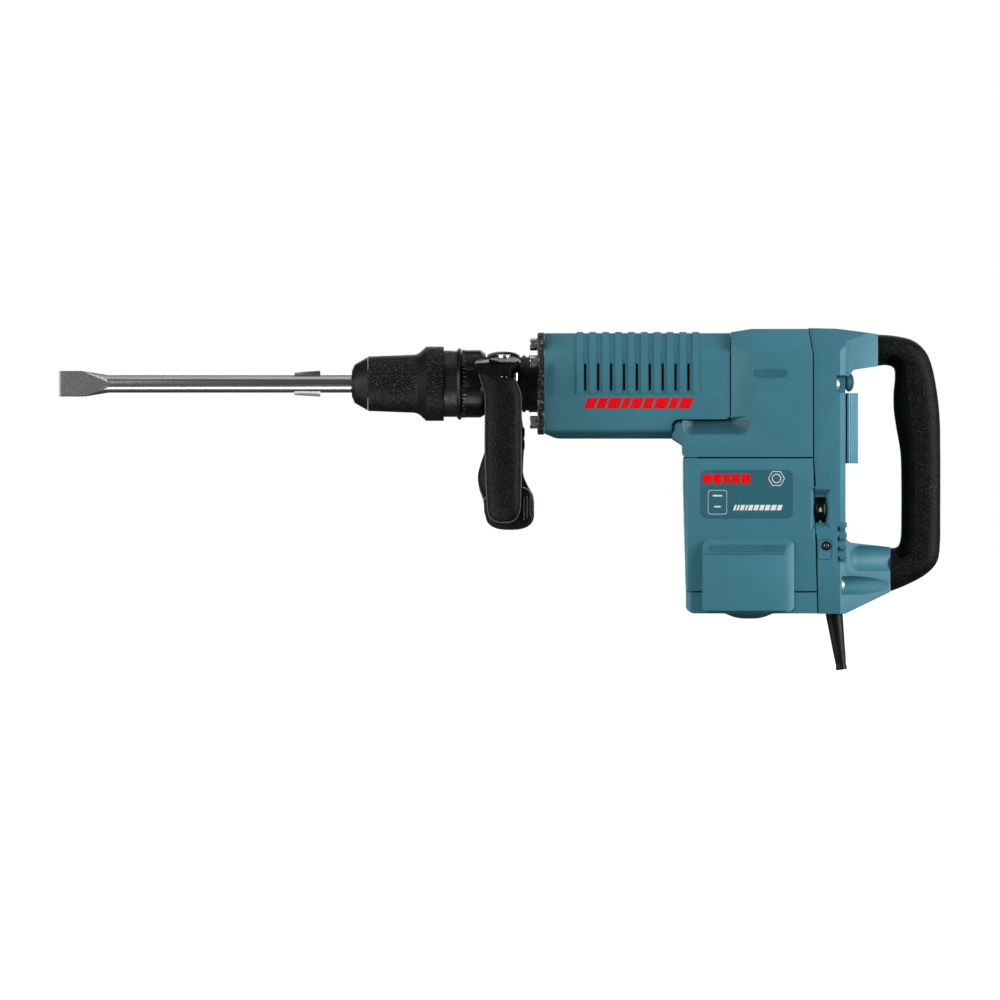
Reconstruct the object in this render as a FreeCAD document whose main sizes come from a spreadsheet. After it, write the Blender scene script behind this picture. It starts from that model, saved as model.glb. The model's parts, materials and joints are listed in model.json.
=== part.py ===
"""Electric demolition hammer (jackhammer) with a flat chisel, as an assembly of separate pieces.

Frame, in millimetres: the origin is the middle of the chisel's cutting edge, on the tool axis. +X runs back
along the tool axis to the rear handle, +Z is up, and the motor hangs down below the tool axis. -Y is the
operator's left side.
"""

import FreeCAD, Part
import math
import os
import re

import Sketcher

doc = FreeCAD.newDocument("demolition_hammer")

# ---------------------------------------------------------------- driving dimensions
# Stations are X positions behind the cutting edge, levels are Z positions about the tool axis, and halves are
# half widths in Y. Everything is in millimetres, degrees or a plain count.
DIMENSIONS = {
    # clearances shared by the whole machine
    "seam_gap": 0.8,
    "wall_thick": 3,
    "fit_gap": 0.05,
    "hole_gap": 0.3,
    # flat chisel with an 18 mm slotted shank
    "chisel_end": 400,
    "shank_rad": 9,
    "shank_chamfer": 2,
    "blade_half": 12.9,
    "blade_land_end": 26,
    "blade_flare_end": 50,
    "blade_facet_end": 53.5,
    "edge_half_thick": 0.6,
    "bevel_end": 2.5,
    "bevel_half_thick": 2,
    "lug_front": 236,
    "lug_slant": 1.6,
    "lug_back": 262,
    "lug_reach": 13,
    "lug_thick": 9,
    "lock_groove_front": 338.5,
    "lock_groove_back": 383,
    "lock_groove_floor": 6.4,
    "lock_groove_wide": 8.3,
    "drive_groove_front": 342,
    "drive_groove_floor": 6.5,
    "drive_groove_wide": 5,
    # tool holder
    "nose_front": 293.5,
    "nose_lip_rad": 9.45,
    "nose_flat_rad": 13,
    "nose_round_back": 296.4,
    "nose_round_rad": 19.4,
    "nose_back": 309.4,
    "nose_back_rad": 26.8,
    "nose_seat_front": 299,
    "spindle_front_rad": 14,
    "spindle_back_rad": 23,
    "spindle_step": 384,
    "spindle_back": 430,
    "bolt_chamber_front": 404,
    "bolt_chamber_rad": 13,
    "key_front": 346,
    "key_back": 394,
    "key_reach": 6.8,
    "key_wide": 4.5,
    "roller_front": 340,
    "roller_back": 352,
    "roller_rad": 4,
    "roller_level": 10.5,
    "sleeve_front": 309.8,
    "sleeve_front_rad": 27.4,
    "sleeve_flare": 359.5,
    "sleeve_flare_rad": 29.3,
    "sleeve_inner_rad": 22,
    "grip_ring_front": 368,
    "grip_ring_back": 385.8,
    "grip_ring_rad": 37.3,
    "ring_bore_rad": 33.8,
    "cam_front": 332,
    "cam_front_rad": 21.3,
    "cam_back": 352.6,
    "cam_back_rad": 14.6,
    "spring_seat": 356,
    "spring_cup_rad": 25.4,
    "spring_cup_back": 366,
    "spring_coil_rad": 19.4,
    "spring_wire_rad": 1.1,
    "spring_turns": 5,
    "angle_ring_front": 399,
    "angle_ring_ridge": 402,
    "angle_ridge_rad": 36.6,
    "angle_ring_land": 404.2,
    "angle_ring_rad": 34.1,
    "angle_ring_chamfer": 422.5,
    "angle_ring_back": 427,
    "angle_step": 406,
    "angle_notch_deep": 1,
    "angle_notch_wide": 8,
    "angle_positions": 12,
    # neck and front flange
    "neck_front": 375,
    "neck_front_rad": 33.3,
    "neck_front_bore": 24.6,
    "neck_step": 400,
    "neck_mid_rad": 30,
    "journal_front": 427.8,
    "journal_rad": 27,
    "journal_back": 464.5,
    "neck_rib_rad": 28.6,
    "neck_rib_wide": 3.2,
    "neck_stop": 432,
    "neck_throat_rad": 14,
    "tube_front": 438,
    "flange_front": 479.5,
    "flange_back": 486,
    "flange_half": 51,
    "flange_round": 9,
    "neck_foot_front": 486.3,
    "neck_foot_back": 490,
    "neck_foot_rad": 35,
    # socket-head screws of the front flange
    "screw_rad": 4,
    "screw_head_rad": 6.3,
    "screw_head_high": 7.6,
    "screw_reach": 20,
    "screw_socket_half": 3,
    "top_screw_side": 27,
    "top_screw_level": 39.6,
    "mid_screw_side": 40,
    "mid_screw_level": 21.4,
    "low_screw_side": 33,
    "low_screw_level": -38.6,
    # percussion mechanism
    "tube_back": 600,
    "tube_bore": 20,
    "tube_rad": 24,
    "bolt_front": 405.3,
    "bolt_stem_rad": 8.8,
    "bolt_body_front": 412,
    "bolt_body_back": 436,
    "bolt_back": 462,
    "damper_front": 438.6,
    "damper_back": 445,
    "damper_bore": 10.4,
    "striker_front": 485,
    "striker_back": 535,
    "seal_groove_deep": 1.6,
    "seal_groove_wide": 3.4,
    "piston_front": 541,
    "piston_back": 581,
    "wrist_station": 570,
    "wrist_rad": 5,
    "wrist_half": 17,
    "piston_slot_front": 558,
    "piston_slot_side": 13,
    "crank_throw": 17,
    "rod_half_thick": 7,
    "rod_eye_rad": 12,
    "rod_eye_bore": 7.3,
    "rod_small_rad": 9,
    "rod_shank_half": 5.5,
    "crank_station": 647.3,
    "crank_shaft_rad": 8,
    "crank_shaft_low": -67,
    "crank_disc_low": -20,
    "crank_disc_high": -10,
    "crank_disc_rad": 25,
    "crank_pin_rad": 7,
    "crank_pin_high": -7.5,
    "gear_module": 1.4,
    "gear_teeth": 54,
    "pinion_teeth": 9,
    "gear_low": -45.5,
    "gear_high": -33.5,
    "crank_bearing_rad": 14,
    "crank_bearing_high": -47,
    "bearing_thick": 9,
    # gear case, an aluminium casting inside the housings
    "case_plate_back": 500,
    "case_plate_top": 46.8,
    "case_plate_side": 42.8,
    "case_plate_low": -51.4,
    "case_tube_rad": 31,
    "case_front": 590,
    "case_back": 735,
    "case_half": 43,
    "case_wall": 3.5,
    "case_top": 40,
    "case_step": 630.5,
    "case_step_level": -51,
    "case_low": -71,
    "case_floor": -46.6,
    "cover_thick": 4,
    # motor, upright below the crank case
    "motor_station": 691.4,
    "shaft_rad": 6,
    "shaft_low": -224,
    "pinion_low": -47,
    "pinion_high": -32.5,
    "top_bearing_high": -57,
    "top_bearing_rad": 15,
    "top_bearing_thick": 12,
    "low_bearing_low": -223,
    "low_bearing_rad": 11,
    "core_rad": 24,
    "core_high": -106,
    "core_low": -166,
    "winding_rad": 20,
    "winding_high": -97,
    "winding_low": -177,
    "commutator_rad": 15,
    "commutator_high": -184,
    "commutator_low": -206,
    "fan_rad": 42,
    "fan_high": -80,
    "fan_low": -92,
    "fan_plate": 2,
    "fan_blades": 11,
    "stator_rad": 46,
    "stator_bore": 25,
    "stator_flat": 40,
    "brush_level": -195,
    "brush_half": 4,
    "brush_half_high": 5,
    "brush_in": 15.4,
    "brush_out": 34,
    "holder_wall": 1.6,
    "holder_in": 18,
    "holder_out": 46,
    # barrel housing: the vented cover round the percussion tube
    "barrel_front": 486.3,
    "barrel_back": 672.3,
    "barrel_half": 51,
    "barrel_top": 50.5,
    "roof_half": 31,
    "roof_edge": 32,
    "barrel_low": -55,
    "barrel_low_edge": -47,
    "barrel_low_half": 38,
    "barrel_edge_round": 6,
    "chin_station": 498.5,
    "chin_level": -49.8,
    "chin_round": 20,
    "step_station": 614,
    "step_level": -37,
    "rib_front": 518.7,
    "rib_wide": 6.6,
    "rib_pitch": 12.9,
    "rib_count": 10,
    "rib_low": -10,
    "rib_proud": 1.2,
    "vent_front": 526.2,
    "vent_wide": 2.3,
    "vent_count": 9,
    "vent_high": 20,
    "vent_low": -7,
    # crank housing: the middle shell above the motor
    "crank_house_top": 54.8,
    "crank_house_half": 57,
    "crank_roof_half": 34,
    "crank_roof_edge": 33,
    "crank_house_low": -73.8,
    "crank_lip_front": 614.3,
    "crank_lip_low": -55.4,
    "body_front": 624.5,
    "ledge_level": -52,
    "ledge_station": 694,
    "rear_seam_top": 750.4,
    "rear_seam_mid": 754.6,
    "rear_seam_low": 759.2,
    "seam_bend_level": 30,
    "ledge_round": 13,
    "ledge_top": -31,
    "ledge_deep": 11,
    "ledge_run": 20,
    "crank_room_half": 43.8,
    "lip_half": 46.5,
    # motor housing and bottom cap
    "motor_high": -74.6,
    "motor_low": -207.9,
    "motor_front_low": 628.3,
    "motor_half": 57,
    "front_corner": 8,
    "cap_high": -208.7,
    "cap_low": -230,
    "cap_round": 8,
    "dome_rad": 24,
    "dome_deep": 5.4,
    # removable brush covers on both sides
    "brush_cover_front": 644.4,
    "brush_cover_back": 736,
    "brush_cover_high": -155.5,
    "brush_cover_low": -228,
    "brush_cover_half": 64,
    "brush_cover_bevel": 9.5,
    "brush_cover_slope": 14,
    "brush_cover_seam": -171,
    # rear housing with the two handle arms
    "rear_top": 55.6,
    "rear_back": 787.5,
    "rear_half": 56,
    "rear_low": -230.3,
    "rear_chamfer": 5.4,
    "arm_top_end": 820.2,
    "arm_top_high": 49.6,
    "arm_top_low": 17.6,
    "arm_root_low": 14,
    "arm_end_half": 26,
    "arm_low_end": 832.6,
    "arm_low_high": -163.6,
    "arm_low_low": -208.6,
    "arm_low_root": -158.5,
    "notch_front": 778.4,
    "notch_high": 8,
    "notch_low": -9.4,
    "notch_side": 36,
    "channel_level": -202,
    "channel_rad": 9.4,
    "channel_side": 45.8,
    "channel_long": 50,
    "channel_turn": 10.7,
    "channel_front": 783.4,
    "arm_root_half": 45.8,
    "scoop_front": 793,
    "scoop_level": -175,
    "scoop_side": 52,
    "scoop_rad": 15,
    "scoop_long": 60,
    "scoop_turn": 23.6,
    "housing_screw_rad": 2.5,
    "housing_screw_head": 5.4,
    "louvre_front": 779.6,
    "louvre_high": -143,
    "louvre_pitch": 10,
    "louvre_tall": 6,
    "louvre_count": 4,
    "louvre_deep": 9,
    # rear handle
    "handle_half": 19,
    "handle_back": 883.5,
    "handle_front": 844,
    "handle_swell": -8,
    "handle_foot": -171,
    # rocker switch
    "rocker_front": 788.4,
    "rocker_high": -8.4,
    "rocker_low": -80.8,
    "rocker_half": 19,
    "rocker_axis": 780.2,
    "rocker_rad": 20.6,
    "rocker_ribs": 44,
    "rocker_stem_half": 6,
    "rocker_rest": 5,
    "switch_wide": 30,
    "module_wide": 40,
    "lamp_deep": 6,
    "cord_clamp_wide": 26,
    # speed dial and service lamp
    "dial_front": 757.6,
    "dial_back": 767.4,
    "dial_level": -126.3,
    "dial_rad": 18,
    "dial_slot_gap": 0.7,
    "dial_stub_rad": 3,
    "dial_side": -36.2,
    "flare_side": 5,
    "flare_rise": 8,
    "flare_deep": 6,
    "lamp_station": 768.3,
    "lamp_level": -162.4,
    "lamp_rad": 3.6,
    # cord sleeve
    "cord_sleeve_station": 776.8,
    "cord_sleeve_top": -230.3,
    "cord_sleeve_long": 57,
    "cord_sleeve_top_rad": 9.2,
    "cord_sleeve_end_rad": 5.5,
    "cord_bore": 4.6,
    "cord_sleeve_tilt": 7.6,
    # front handle
    "hand_ring_front": 429,
    "hand_ring_back": 462,
    "hand_ring_rad": 32.5,
    "hand_bore_gap": 0.2,
    "spine_half": 15,
    "grip_side_out": -94,
    "grip_side_in": -62,
    "hand_low": -146.5,
    "hand_gap_low": -113,
    "grip_top": 4.2,
    "grip_low": -136.5,
    "grip_front": 430,
    "grip_back": 465.5,
    "grip_round": 11,
    "block_front": 417,
    "block_high": 29,
    "clamp_bolt_side": -52,
    "clamp_bolt_station": 446,
    "clamp_bolt_rad": 4,
    "clamp_slit": 3,
    "clamp_seat_rad": 8,
    "clamp_seat_deep": 5,
    "clamp_head_rad": 6.6,
    "clamp_bolt_low": 12,
    "clamp_nut_rad": 7.8,
    "clamp_nut_low": 9,
    "spine_high": -20,
    "cup_front": 420,
    "cup_back": 476.3,
    "cup_high": -74,
    "cup_lip": -113,
    "grip_waist": -70,
    "block_behind": 20,
}

dims = doc.addObject("Spreadsheet::Sheet", "dims")
for row, (alias, value) in enumerate(DIMENSIONS.items(), start=1):
    dims.set(f"A{row}", alias)
    dims.set(f"B{row}", str(value))
    dims.setAlias(f"B{row}", alias)
doc.recompute()


# ---------------------------------------------------------------- helpers
def formula(text):
    """A FreeCAD expression from a formula in the sheet's aliases."""
    return re.sub(r"[a-z]+(?:_[a-z]+)+", lambda word: "dims." + word.group(), str(text))


def number(text):
    """What a formula comes to now, as a plain number."""
    value = dims.evalExpression(formula(text))
    return float(getattr(value, "Value", value))


def bind(thing, path, text):
    """Binds one property of an object to a formula."""
    thing.setExpression(path, formula(text))


def put(thing, x="0", y="0", z="0"):
    """Binds where an object stands."""
    for axis, text in zip("xyz", (x, y, z)):
        bind(thing, f"Placement.Base.{axis}", text)
    return thing


def turn(thing, axis, degrees):
    """Turns an object about its own origin by a formula in degrees."""
    thing.Placement.Rotation = FreeCAD.Rotation(FreeCAD.Vector(*axis), 1)
    bind(thing, "Placement.Rotation.Angle", degrees)
    return thing


def hold(sketch, geometry, point, spot):
    """Pins a sketch point at a pair of formulas."""
    for kind, text in zip(("DistanceX", "DistanceY"), spot):
        index = sketch.addConstraint(Sketcher.Constraint(kind, geometry, point, number(text)))
        bind(sketch, f"Constraints[{index}]", text)


def draw_circle(sketch, across, up, radius):
    """A circle whose centre and radius are held by formulas."""
    centre = FreeCAD.Vector(number(across), number(up), 0)
    circle = sketch.addGeometry(Part.Circle(centre, FreeCAD.Vector(0, 0, 1), number(radius)), False)
    hold(sketch, circle, 3, (across, up))
    index = sketch.addConstraint(Sketcher.Constraint("Radius", circle, number(radius)))
    bind(sketch, f"Constraints[{index}]", radius)


def corner(before, here, after, radius):
    """Where a round corner leaves its two sides, its arc, and whether the outline turns left there."""
    back, ahead = (before - here).normalize(), (after - here).normalize()
    half = back.getAngle(ahead) / 2
    reach = radius / math.tan(half)
    start, end = here + back * reach, here + ahead * reach
    centre = here + (back + ahead).normalize() * (radius / math.sin(half))
    left = (here - before).cross(after - here).z > 0
    first, last = (start, end) if left else (end, start)
    angles = [math.atan2(p.y - centre.y, p.x - centre.x) for p in (first, last)]
    if angles[1] < angles[0]:
        angles[1] += 2 * math.pi
    arc = Part.ArcOfCircle(Part.Circle(centre, FreeCAD.Vector(0, 0, 1), radius), *angles)
    return start, end, arc, left


def draw_outline(sketch, points):
    """A closed outline. Each point is (across, up) or (across, up, corner radius), all of them formulas."""
    spots = [FreeCAD.Vector(number(p[0]), number(p[1]), 0) for p in points]
    count = len(points)
    rounds = {}
    for i, point in enumerate(points):
        if len(point) > 2:
            rounds[i] = corner(spots[i - 1], spots[i], spots[(i + 1) % count], number(point[2]))
    sides = []
    for i in range(count):
        after = (i + 1) % count
        start = rounds[i][1] if i in rounds else spots[i]
        end = rounds[after][0] if after in rounds else spots[after]
        sides.append(sketch.addGeometry(Part.LineSegment(start, end), False))
    for i, point in enumerate(points):
        before, here = sides[i - 1], sides[i]
        if i not in rounds:
            sketch.addConstraint(Sketcher.Constraint("Coincident", before, 2, here, 1))
            hold(sketch, here, 1, point[:2])
            continue
        arc = sketch.addGeometry(rounds[i][2], False)
        first, last = (1, 2) if rounds[i][3] else (2, 1)
        sketch.addConstraint(Sketcher.Constraint("Tangent", before, 2, arc, first))
        sketch.addConstraint(Sketcher.Constraint("Tangent", arc, last, here, 1))
        index = sketch.addConstraint(Sketcher.Constraint("Radius", arc, number(point[2])))
        bind(sketch, f"Constraints[{index}]", point[2])
        mark = sketch.addGeometry(Part.Point(spots[i]), True)
        hold(sketch, mark, 1, point[:2])
        sketch.addConstraint(Sketcher.Constraint("PointOnObject", mark, 1, before))
        sketch.addConstraint(Sketcher.Constraint("PointOnObject", mark, 1, here))


def new_body(label):
    """A PartDesign body with a label of its own."""
    body = doc.addObject("PartDesign::Body", label)
    body.Label = label
    return body


def draw(body, role, loops, lift="0"):
    """A sketch on one of the body's own planes, raised by lift along the plane's normal."""
    plane = next(f for f in body.Origin.OriginFeatures if f.Role == role)
    sketch = body.newObject("Sketcher::SketchObject", body.Name + "_sketch")
    sketch.AttachmentSupport = [(plane, "")]
    sketch.MapMode = "FlatFace"
    if lift != "0":
        bind(sketch, "AttachmentOffset.Base.z", lift)
    for loop in loops:
        if loop[0] == "circle":
            draw_circle(sketch, *loop[1:])
        else:
            draw_outline(sketch, loop)
    return sketch


def extrude(kind, body, sketch, length, both=False, back=False):
    """Pads or pockets a sketch by a length, to both sides or to one."""
    made = body.newObject("PartDesign::" + kind, body.Name + "_" + kind.lower())
    made.Profile = sketch
    made.SideType = "Symmetric" if both else "One side"
    made.Reversed = back
    made.Type = "Length"
    bind(made, "Length", length)
    return made


def pad(body, role, loops, length, lift="0", both=False, back=False):
    return extrude("Pad", body, draw(body, role, loops, lift), length, both, back)


def pocket(body, role, loops, length, lift="0", both=False, back=False):
    return extrude("Pocket", body, draw(body, role, loops, lift), length, both, back)


def pattern(body, kind, original, count, direction, spacing):
    """Repeats a feature in a row by a pitch, or round an axis."""
    made = body.newObject("PartDesign::" + kind, body.Name + "_pattern")
    made.Originals = [original]
    bind(made, "Occurrences", count)
    if kind == "LinearPattern":
        made.Direction = direction
        made.Mode = "Spacing"
        bind(made, "Offset", spacing)
    else:
        made.Axis = direction
        made.Angle = 360
    body.Tip = made
    return made


def axis_of(body, role):
    return (next(f for f in body.Origin.OriginFeatures if f.Role == role), [""])


def revolve(body, role, loops, axis="H_Axis", kind="Revolution"):
    """Turns a sketch all round one of its own axes."""
    sketch = draw(body, role, loops)
    made = body.newObject("PartDesign::" + kind, body.Name + "_turned")
    made.Profile = sketch
    made.ReferenceAxis = (sketch, [axis])
    made.Angle = 360
    return made


def turned(label, points, upright=False):
    """A piece turned about the tool axis from (station, radius), or upright about Z from (radius, level)."""
    body = new_body(label)
    revolve(body, "XZ_Plane", [points], "V_Axis" if upright else "H_Axis")
    return body


def bar(label, role, loops, length, lift="0", both=False, back=False):
    """A piece padded from one sketch."""
    body = new_body(label)
    pad(body, role, loops, length, lift, both, back)
    return body


def box(x_low, x_high, z_low, z_high):
    """The four corners of a rectangle, as formulas."""
    return [(x_low, z_low), (x_high, z_low), (x_high, z_high), (x_low, z_high)]


def mirrored_outline(points):
    """A left and right symmetric outline from the points of its right half, listed from the top down."""
    left = [(f"-({p[0]})", *p[1:]) for p in points]
    return points[::-1] + left


def edges_like(shape, test):
    """The names of the edges of a shape that pass a test."""
    return [f"Edge{i}" for i, edge in enumerate(shape.Edges, start=1) if test(edge)]


def soften(body, radius, test, kind="Fillet"):
    """Rounds or chamfers the edges of a body that pass a test."""
    doc.recompute()
    tip = body.Tip
    names = edges_like(tip.Shape, test)
    if not names:
        raise RuntimeError(f"{body.Label}: no edge to round")
    made = body.newObject("PartDesign::" + kind, body.Name + "_" + kind.lower())
    made.Base = (tip, names)
    bind(made, "Radius" if kind == "Fillet" else "Size", radius)
    doc.recompute()
    if "Invalid" in made.State or "Error" in made.State or not made.Shape.isValid():
        raise RuntimeError(f"{body.Label}: {kind} of {len(names)} edges failed")
    return made


def along(edge, axis):
    """True for a straight edge along a row axis."""
    if edge.Curve.TypeId != "Part::GeomLine":
        return False
    return abs(abs(getattr(edge.Curve.Direction, axis)) - 1) < 1e-6


def near(value, text, slack=0.2):
    """True when a coordinate is the one that a formula gives."""
    return abs(value - number(text)) < slack


def combine(kind, label, first, others):
    """A boolean of finished objects: Cut, MultiFuse or Common."""
    made = doc.addObject("Part::" + kind, label)
    made.Label = label
    if kind == "MultiFuse":
        made.Shapes = [first, *others]
    else:
        made.Base, made.Tool = first, others[0]
    made.Refine = True
    return made


def subtract(label, base, tools):
    """Base less every tool."""
    tool = tools[0] if len(tools) == 1 else combine("MultiFuse", label + "_tools", tools[0], tools[1:])
    return combine("Cut", label, base, [tool])


def group(label, source, places):
    """Equal pieces in one node: links to a source body at a list of (x, y, z, axis, degrees) places."""
    made = doc.addObject("Part::Compound", label)
    made.Label = label
    links = []
    for x, y, z, axis, degrees in places:
        link = doc.addObject("App::Link", label + "_place")
        link.LinkedObject = source
        link.Placement.Rotation = FreeCAD.Rotation(FreeCAD.Vector(*axis), degrees)
        put(link, x, y, z)
        links.append(link)
    made.Links = links
    return made


NO_TURN = ((0, 0, 1), 0)


# ---------------------------------------------------------------- chisel and tool holder
def flat_chisel():
    """Round shank, lugs, and a blade ground to a flat edge along Y."""
    body = turned("chisel_round", [
        ("0", "0"), ("0", "blade_half"), ("blade_land_end", "blade_half"), ("blade_flare_end", "shank_rad"),
        ("chisel_end-shank_chamfer", "shank_rad"), ("chisel_end", "shank_rad-shank_chamfer"),
        ("chisel_end", "0"),
    ])
    lug = [("lug_front", "-lug_reach+lug_slant"), ("lug_back", "-lug_reach"), ("lug_back", "lug_reach"),
           ("lug_front", "lug_reach-lug_slant")]
    pad(body, "XZ_Plane", [lug], "lug_thick", both=True)
    for side in ("lock_groove_floor", "-lock_groove_floor-shank_rad"):
        slot = box("lock_groove_front", "lock_groove_back", side, f"{side}+shank_rad")
        pocket(body, "XZ_Plane", [slot], "lock_groove_wide", both=True)
    for side in ("drive_groove_floor", "-drive_groove_floor-shank_rad"):
        slot = box("drive_groove_front", "chisel_end+shank_rad", side, f"{side}+shank_rad")
        pocket(body, "XY_Plane", [slot], "drive_groove_wide", both=True)
    half = [("0", "edge_half_thick"), ("bevel_end", "bevel_half_thick"), ("blade_facet_end", "shank_rad"),
            ("blade_facet_end", "blade_half*2"), ("chisel_end", "blade_half*2"),
            ("chisel_end", "-blade_half*2"),
            ("blade_facet_end", "-blade_half*2"), ("blade_facet_end", "-shank_rad"),
            ("bevel_end", "-bevel_half_thick"), ("0", "-edge_half_thick")]
    wedge = bar("chisel_wedge", "XY_Plane", [half], "blade_half*4", both=True)
    return combine("Common", "flat_chisel", body, [wedge])


def dust_cap():
    return turned("dust_cap", [
        ("nose_front", "nose_lip_rad"), ("nose_front", "nose_flat_rad", "1"),
        ("nose_round_back", "nose_round_rad", "3"),
        ("nose_back", "nose_back_rad"), ("nose_back", "spindle_front_rad"),
        ("nose_seat_front", "spindle_front_rad"),
        ("nose_seat_front", "nose_lip_rad"),
    ])


def tool_spindle():
    """Slotted tube that carries the chisel, with two drive keys and two roller windows."""
    body = turned("tool_spindle", [
        ("nose_seat_front", "shank_rad+fit_gap"), ("nose_seat_front", "spindle_front_rad"),
        ("spindle_step", "spindle_front_rad"), ("spindle_step", "spindle_back_rad"),
        ("spindle_back", "spindle_back_rad"), ("spindle_back", "bolt_chamber_rad"),
        ("bolt_chamber_front", "bolt_chamber_rad"), ("bolt_chamber_front", "shank_rad+fit_gap"),
    ])
    window = box("roller_front-hole_gap", "roller_back+hole_gap", "-spindle_back_rad", "spindle_back_rad")
    pocket(body, "XZ_Plane", [window], "roller_rad*2+fit_gap*2", both=True)
    for low, high in (("key_reach", "spindle_front_rad-2"), ("2-spindle_front_rad", "-key_reach")):
        pad(body, "XY_Plane", [box("key_front", "key_back", low, high)], "key_wide", both=True)
    return body


def locking_roller(label, level):
    """One roller, lying along the tool axis in its window."""
    made = bar(label, "YZ_Plane", [("circle", "0", "0", "roller_rad")], "roller_back-roller_front")
    return put(made, "roller_front", "0", level)


def locking_sleeve():
    """Pull-back sleeve. The cone inside it holds the rollers down."""
    return turned("locking_sleeve", [
        ("sleeve_front", "sleeve_inner_rad"), ("sleeve_front", "sleeve_front_rad", "0.6"),
        ("sleeve_flare", "sleeve_flare_rad", "12"), ("grip_ring_front", "grip_ring_rad", "1.5"),
        ("grip_ring_back", "grip_ring_rad", "1"), ("grip_ring_back", "ring_bore_rad"),
        ("spring_cup_back", "ring_bore_rad"), ("spring_cup_back", "spring_cup_rad"),
        ("spring_seat", "spring_cup_rad"), ("spring_seat", "cam_back_rad"), ("cam_back", "cam_back_rad"),
        ("cam_front", "cam_front_rad"), ("cam_front", "sleeve_inner_rad"),
    ])


def lock_spring():
    """Coil spring between the sleeve and the shoulder of the spindle."""
    helix = doc.addObject("Part::Helix", "lock_spring_path")
    bind(helix, "Radius", "spring_coil_rad")
    bind(helix, "Height", "spindle_step-spring_seat-spring_wire_rad*2-fit_gap*4")
    bind(helix, "Pitch", "(spindle_step-spring_seat-spring_wire_rad*2-fit_gap*4)/spring_turns")
    wire = doc.addObject("Part::Circle", "lock_spring_wire")
    bind(wire, "Radius", "spring_wire_rad")
    wire.Placement.Rotation = FreeCAD.Rotation(FreeCAD.Vector(1, 0, 0), 90)
    bind(wire, "Placement.Base.x", "spring_coil_rad")
    coil = doc.addObject("Part::Sweep", "lock_spring")
    coil.Label = "lock_spring"
    coil.Sections = [wire]
    coil.Spine = (helix, ["Edge1"])
    coil.Solid = True
    coil.Frenet = True
    coil.Placement.Rotation = FreeCAD.Rotation(FreeCAD.Vector(0, 1, 0), 90)
    return put(coil, "spring_seat+spring_wire_rad+fit_gap*2")


def angle_ring():
    """Ring that is pushed forward to turn the chisel to one of its positions."""
    body = turned("angle_ring", [
        ("angle_ring_front", "neck_front_rad+hole_gap"), ("angle_ring_front", "angle_ring_rad+0.6"),
        ("angle_ring_ridge", "angle_ridge_rad", "0.8"), ("angle_ring_land", "angle_ring_rad"),
        ("angle_ring_chamfer", "angle_ring_rad"), ("angle_ring_back", "neck_mid_rad+0.9"),
        ("angle_ring_back", "neck_mid_rad+hole_gap"), ("angle_step", "neck_mid_rad+hole_gap"),
        ("angle_step", "neck_front_rad+hole_gap"),
    ])
    slot = box("-angle_notch_wide/2", "angle_notch_wide/2", "angle_ring_rad-angle_notch_deep",
               "angle_ring_rad*2")
    length = "angle_ring_back-angle_ring_land-3"
    cut = pocket(body, "YZ_Plane", [slot], length, "angle_ring_land+1.5", back=True)
    pattern(body, "PolarPattern", cut, "angle_positions", axis_of(body, "X_Axis"), None)
    return body


# ---------------------------------------------------------------- neck, flange and percussion mechanism
def neck_housing():
    """Casting that carries the tool holder, with a journal for the front handle."""
    body = turned("neck_housing", [
        ("neck_front", "neck_front_bore"), ("neck_front", "neck_front_rad", "1"),
        ("neck_step", "neck_front_rad"),
        ("neck_step", "neck_mid_rad"), ("journal_front", "neck_mid_rad"), ("journal_front", "journal_rad"),
        ("journal_back", "journal_rad"), ("journal_back", "neck_rib_rad"),
        ("neck_foot_front", "neck_rib_rad"),
        ("neck_foot_front", "neck_foot_rad"), ("neck_foot_back", "neck_foot_rad"),
        ("neck_foot_back", "tube_rad+fit_gap"),
        ("tube_front", "tube_rad+fit_gap"), ("tube_front", "neck_throat_rad"),
        ("neck_stop", "neck_throat_rad"),
        ("neck_stop", "neck_front_bore"),
    ])
    groove = [("journal_back+neck_rib_wide", "journal_rad"), ("journal_back+neck_rib_wide*2", "journal_rad"),
              ("journal_back+neck_rib_wide*2", "neck_foot_rad"),
              ("journal_back+neck_rib_wide", "neck_foot_rad")]
    revolve(body, "XZ_Plane", [groove], kind="Groove")
    return body


def screw_spots():
    """Where the flange screws stand, as (y, z) formulas."""
    spots = []
    for sign in ("", "-"):
        for side, level in (("top_screw_side", "top_screw_level"), ("mid_screw_side", "mid_screw_level"),
                            ("low_screw_side", "low_screw_level")):
            spots.append((f"{sign}{side}", level))
    return spots


def screw_holes(body, station, length, gap):
    """Drills the flange screws' holes from a station backwards."""
    holes = [("circle", y, z, f"screw_rad+{gap}") for y, z in screw_spots()]
    pocket(body, "YZ_Plane", holes, length, station, back=True)


def front_flange():
    """Square plate that clamps the neck to the gear case."""
    body = new_body("front_flange")
    outline = [(f"{a}flange_half", f"{b}flange_half", "flange_round")
               for a, b in (("-", "-"), ("", "-"), ("", ""), ("-", ""))]
    pad(body, "YZ_Plane", [outline, ("circle", "0", "0", "neck_rib_rad+hole_gap")],
        "flange_back-flange_front",
        "flange_front")
    screw_holes(body, "flange_front-1", "flange_back-flange_front+2", "hole_gap")
    soften(body, "1.2", lambda e: near(e.BoundBox.XMin, "flange_front") and near(e.BoundBox.XMax,
                                                                                 "flange_front")
           and e.BoundBox.Center.Length > 0 and max(abs(e.BoundBox.YMax), abs(e.BoundBox.YMin),
                                                    abs(e.BoundBox.ZMax), abs(e.BoundBox.ZMin)) > number(
                                                        "flange_half")-1, "Chamfer")
    return body


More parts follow.
